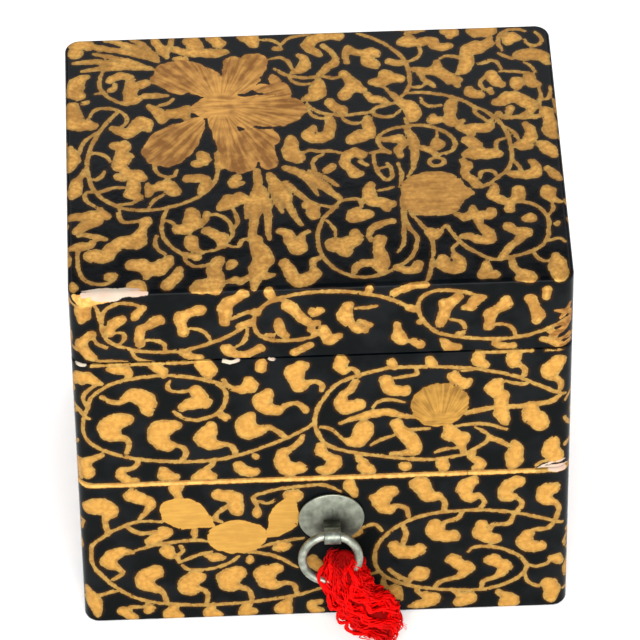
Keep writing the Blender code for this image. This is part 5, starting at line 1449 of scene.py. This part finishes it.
    (34, -29.8, .5, 34.5, -31.6, .6, 35.5, -33, .8, 36.4, -33, .8, 37.3, -34.3, 1),
    (35.2, -34.2, .7, 36.4, -34.3, .8),
    (17.4, -29.7, .8, 16.6, -31.2, 1, 15.3, -31.4, .7),
    (-10.4, -3.5, .6, -10.5, -8, .8, -10.8, -12, 1.4, -11.3, -16, .8, -11.8, -20, .7, -11.7, -22, .8),
    (-9.8, -8, .5, -9.2, -12, .9, -8.8, -16, .6, -9, -20, .45, -8.8, -21.9, .3),
    (-12, -11.2, .8, -12.5, -13.5, .5, -12.8, -16, .3), (-8.2, -4.5, .6, -6.9, -8, 1.3, -5.8, -10, 1.2,
     -5, -13, .7, -4, -16, .55, -2.9, -18.5, .3),
    (-8, -8, .5, -7.3, -11, .55, -6.5, -13.8, .45, -6.2, -14.8, .3),
    (-5.4, -7, .6, -3.5, -9.5, .5, -1.4, -12.2, .4),
    (-5.2, -2.8, .6, -2.5, -4.5, .9, 0, -6.5, .9, 2.5, -9.5, .7, 4.6, -12.1, .4),
    (-1, -4, .4, 1, -5.2, .4, 2.8, -6.8, .4, 4, -8.3, .25), (-1.7, -6, .5, -.5, -8.5, .4, .3, -10.6, .25),
    (-11.3, -21.7, .9, -10.8, -24, 1.3, -10, -27, 1.7, -11, -29.4, 1.6, -11.5, -32, 1, -12, -34.5, .6),
    (-9.9, -31.6, .8, -8.5, -31.4, .4), (-14.6, -33, .6, -12.6, -31.6, .6),
    (-13.8, -10.5, 1.3, -14.8, -12.3, .8),
    (-13, -11.2, .9, -11.6, -11.6, .8), (-14.2, -5.3, .9, -14.9, -6.8, .9, -13.2, -6.5, .4),
    (-1.6, -13, 1, -.6, -13.6, 1, -.7, -15.4, 1.1, -.6, -16.4, .7),
    (7, -15.9, 1.5, 6.8, -16.6, 1.5, 8.8, -16.1, 1.2),
    (6.6, -20.9, .8, 6.7, -22.4, 1.1, 5.3, -23.5, 1.4, 2.8, -24, 1.6), (3.6, -24.6, 1.2, 4.6, -25.6, 1.2,
     4.8, -26.6, .7),
    (13.3, -18.3, .6, 11.3, -18.8, .7, 9.8, -20, .6, 9, -21.8, .5, 9.3, -23.2, .35),
    (11, -22.8, .9, 10.5, -25.5, 1, 11, -28, 1.2, 10.8, -30, 1.3), (11.2, -31.4, .8, 9.4, -29.2, .8,
     6.6, -29.7, .8, 6.1, -31.2, .5),
    (-6.8, -19.9, .7, -5.5, -20.8, 1, -5, -22.5, 1.1, -3.9, -24.7, 1.4, -3.3, -23, .9, -2.8, -21, .45,
     -1.8, -20.2, .5),
    (-6.3, -28.4, 1, -5.5, -30.5, 1.1, -4.3, -33, 1.4, -2.5, -32.7, 1.5, -1.2, -31.6, 1.1, -1.3, -29.5, .5,
     -1.2, -28, .5, -.1, -27.3, .45),
    (9.8, -8.4, .8, 9.5, -10.5, 1.1, 9.8, -12.6, 1.1, 12, -13.2, 1.1, 13.4, -13.5, .8),
    (12.3, -14, .8, 12.5, -15, .6),
    (13.8, -30.6, .8, 15, -31.3, .7),
)
TOP_FLOWER = (
    (-26, 24.7, 2.6, -23, 24, 3.9, -20, 21.5, 3.4, -17, 19, 2.3), (-27.2, 23, 2, -24, 21, 2.4),
    (-21.5, 24.8, 2.2, -19.3, 23.8, 2.0, -17.2, 21.2, 1.9),
    (-10.2, 26.8, 2.6, -11.4, 24.5, 3.2, -12.8, 21, 2.8, -14, 19, 2), (-14, 27, 1.7, -14.4, 22, 1.6),
    (-3.3, 13.5, 2.4, -6, 13, 4.2, -10, 13.5, 4.1, -14, 15, 3),
    (-9.5, 6, 2.1, -12, 4, 3.6, -13.5, 0, 3.4, -13, -1.8, 2), (-8.8, 3, 1.6, -8.2, -1.5, 1.6),
    (-26.9, 2.8, 4.2, -25.5, 5, 4.3, -23, 7.8, 3, -21, 10.3, 1.5),
    (-20.3, 14.4, 1.6, -18, 14.4, 3.2, -15, 14.5, 3.4), (-17.5, 13, 2, -16, 8, 2.4, -15, 3, 2.2),
    (-14, 13, 1.6, -11.6, 10.8, 1.5), (-13.6, 10.4, 1.4, -11.4, 9.4, 1.2),
    (-12, 12, 2, -9.5, 9, 1.6, -7.5, 5, 1.6), (-7, 22.6, .7, -6.2, 21, 1.1, -5.2, 19.2, 1.3,
     -4.8, 17.6, 1.3), (-9, 19.4, 1.2, -6, 19, 1.3), (-17, 9, 1.6, -16, 5, 1.8),
)
TOP_BUD = (
    (19.6, -9.9, 4.4, 21.6, -10.1, 5.0, 23.2, -10.4, 4.0), (19.8, -12.3, 4.8, 22.0, -12.6, 4.6),
    (24.2, -10.8, 3.2, 26.6, -11.2, 1.6, 27.9, -11.4, .6),
)
TOP_GAPS = (
    (-13, 17.8, .3, -11.8, 17.6, .5, -9.6, 18, .25), (-8.9, 22.4, .3, -7.8, 22.8, .5, -7.2, 23.6, .3),
    (-10.8, 8.9, .1, -9.4, 8.4, .42, -7.4, 8.3, .35),
    (-19.6, 8, .35, -19.8, 6, .4, -19.9, 4.4, .3), (-19.2, 4, .3, -18.6, 1.8, .35, -18.2, -.4, .25),
)

lid_flower, lid_bud = leaf_strokes(TOP_FLOWER, fuller=1.0), leaf_strokes(TOP_BUD, fuller=0.98)
lid_smears = leaf_strokes((
    (41, 3.2, .3, 42.7, 4.4, .5, 44.4, 6, .5), (42.6, 7.4, .2, 43.6, 8.6, .35, 44.6, 10.2, .3),
    (42.2, 2.2, .3, 44.4, 2.8, .4), (41.6, 9.2, .2, 43.4, 8.9, .4, 45, 8, .3), (43, .8, .3, 44.8, 1.3, .4),
    (42.2, 5.8, .3, 43.6, 6.3, .45, 45, 7.2, .4),
))
lid_front = vine_strokes(LID_VINES) + leaf_strokes(LID_LEAVES, fuller=0.98, webbed=True) + lid_smears
lid_front = raised(lid_front, LID_FOOT)
lid_top = vine_strokes(TOP_VINES) + leaf_strokes(TOP_LEAVES) + lid_flower + lid_bud
lid_outline = Outline(front=226, side=174, behind=226, arc=12)
arris_turn = np.linspace(0, math.pi / 2, 6)[1:]
lid_wall = even_steps(LID_BASE + WALL_ARRIS, ARRIS_START, LID_STEP)
lid_paint_heights = np.concatenate([[LID_BASE], lid_wall, ARRIS_START + ARRIS * arris_turn])
lid_under = [
    (INNER_WALL, LID_CEILING), (INNER_WALL, 75), (INNER_WALL, LID_RECESS), (SKIRT, LID_RECESS),
    (SKIRT, LID_BASE),
]
lid_rows = (
    lid_under + [(WALL_ARRIS, LID_BASE)] + [(0.0, z) for z in lid_wall]
    + [(ARRIS * (1 - math.cos(t)), ARRIS_START + ARRIS * math.sin(t)) for t in arris_turn]
)
lid_outside = slice(len(lid_under), len(lid_under) + len(lid_paint_heights))
lid_fields = wall_fields(
    lid_outline, lid_rows, lid_outside, lid_paint_heights,
    gilt=(
        on_another_face(lid_front, SIDE_END, shift=8.0), lid_front,
        on_another_face(lid_front, SIDE_END, shift=-5.0), on_another_face(lid_front, BACK_END, flip=-1),
    ),
    petal=([], raised(lid_smears, LID_FOOT), [], []),
    # The pale strokes: the chip along the front's top edge, and a thin line down the rounded front left
    # corner that is partly worn edge and partly painted highlight
    pale=([], leaf_strokes((
        (-42.4, 82.9, .4, -39, 83, .6, -35, 82.9, .6, -31.2, 82.8, .35),
        (-40.5, 82.2, .4, -38.4, 81.9, .5, -36.2, 81.7, .2), (-46.2, 67.4, .02, -46.2, 81.5, .06),
    )), [], []),
    warm=([], leaf_strokes((
        (-43.8, 81.9, .7, -42.6, 81.6, 1.1, -40.8, 81.7, .9, -38.4, 81.9, .7, -36.4, 81.9, .3),
    )), [], []),
)


def lid_board(ring, first):
    """The top's grid of points between the four edges, with its faces and painted fields.

    A point is a blend of the opposite edges: (1-t)*front + t*back + (1-s)*left + s*right, less
    the same blend of the four corners. The outer points are the wall's last ring.
    """
    starts = lid_outline.starts
    down, across = starts[1] - starts[0], starts[2] - starts[1]
    index = np.zeros((down + 1, across + 1), int)
    total = lid_outline.count
    index[:, 0] = np.arange(down, -1, -1)
    index[0, :] = np.arange(starts[1], starts[2] + 1)
    index[:, -1] = np.arange(starts[2], starts[3] + 1)
    index[-1, :] = np.arange(starts[3], starts[3] + across + 1)[::-1] % total
    s = np.linspace(0, 1, across + 1)[None, :, None]
    t = np.linspace(0, 1, down + 1)[:, None, None]
    front, rear = ring[index[0]][None], ring[index[-1]][None]
    left, right = ring[index[:, 0]][:, None], ring[index[:, -1]][:, None]
    corners = (
        (1 - s) * (1 - t) * front[:, :1] + s * (1 - t) * front[:, -1:]
        + (1 - s) * t * rear[:, :1] + s * t * rear[:, -1:]
    )
    points = (1 - t) * front + t * rear + (1 - s) * left + s * right - corners
    inner = points[1:-1, 1:-1].reshape(-1, 3)
    last = first - total
    index += last
    index[1:-1, 1:-1] = first + np.arange(len(inner)).reshape(down - 1, across - 1)
    quads = np.stack([index[:-1, :-1], index[:-1, 1:], index[1:, 1:], index[1:, :-1]], -1).reshape(-1, 4)
    x, y = inner[:, 0], inner[:, 1]
    between_petals = paint_depth(x, y, leaf_strokes(TOP_GAPS, fuller=0.7))
    # The chip on the front's edge goes on over the top, as far as the way round the edge
    over = ARRIS_START + ARRIS_LENGTH + (y + PLAN_HALF[1] - ARRIS)
    chip = leaf_strokes(((-42.4, 83.4, .3, -39, 83.6, .6, -35, 83.5, .6, -32, 83.3, .4),))
    values = {
        "gilt": np.minimum(paint_depth(x, y, lid_top), -between_petals),
        "petal": np.maximum(paint_depth(x, y, lid_flower), np.minimum(paint_depth(x, y, lid_bud), 0)),
        "pale": paint_depth(x, over, chip),
        "warm": np.full(len(x), -FIELD_REACH),
    }
    return inner, quads, values


# The top's paint runs on over the rounded edge, so the edge rows take the deeper of both
is_edge = np.arange(len(lid_paint_heights)) > len(lid_wall) - EDGE_WALL_ROWS
edge_rows = np.flatnonzero(is_edge) + lid_outside.start
beyond = ARRIS_START + ARRIS_LENGTH - lid_paint_heights[is_edge]
for number in range(4):
    stations = np.flatnonzero(lid_outline.face == number)
    spot = lid_outline.base[stations] - (ARRIS - beyond[:, None, None]) * lid_outline.normal[stations]
    found = paint_depth(spot[..., 0].ravel(), spot[..., 1].ravel(), lid_top).reshape(spot.shape[:2])
    here = np.ix_(edge_rows, stations)
    lid_fields["gilt"][here] = np.maximum(lid_fields["gilt"][here], found)

lid_lacquer = painted_lacquer(
    "black_lacquer_painted_gold_lid", (-0.0165, 0.0150, 0.083), is_upright=False,
    petals=("#704A23", "#B08242"), leaves=("#9A6F35", "#B68944"), browned=0.46,
)
place_piece(
    "lid_shell",
    shell_mesh("lid_shell", lid_outline, lid_rows, lid_fields, lid_outside, cap_grid=lid_board),
    lid_lacquer, "box", "lacquer", "lid",
)
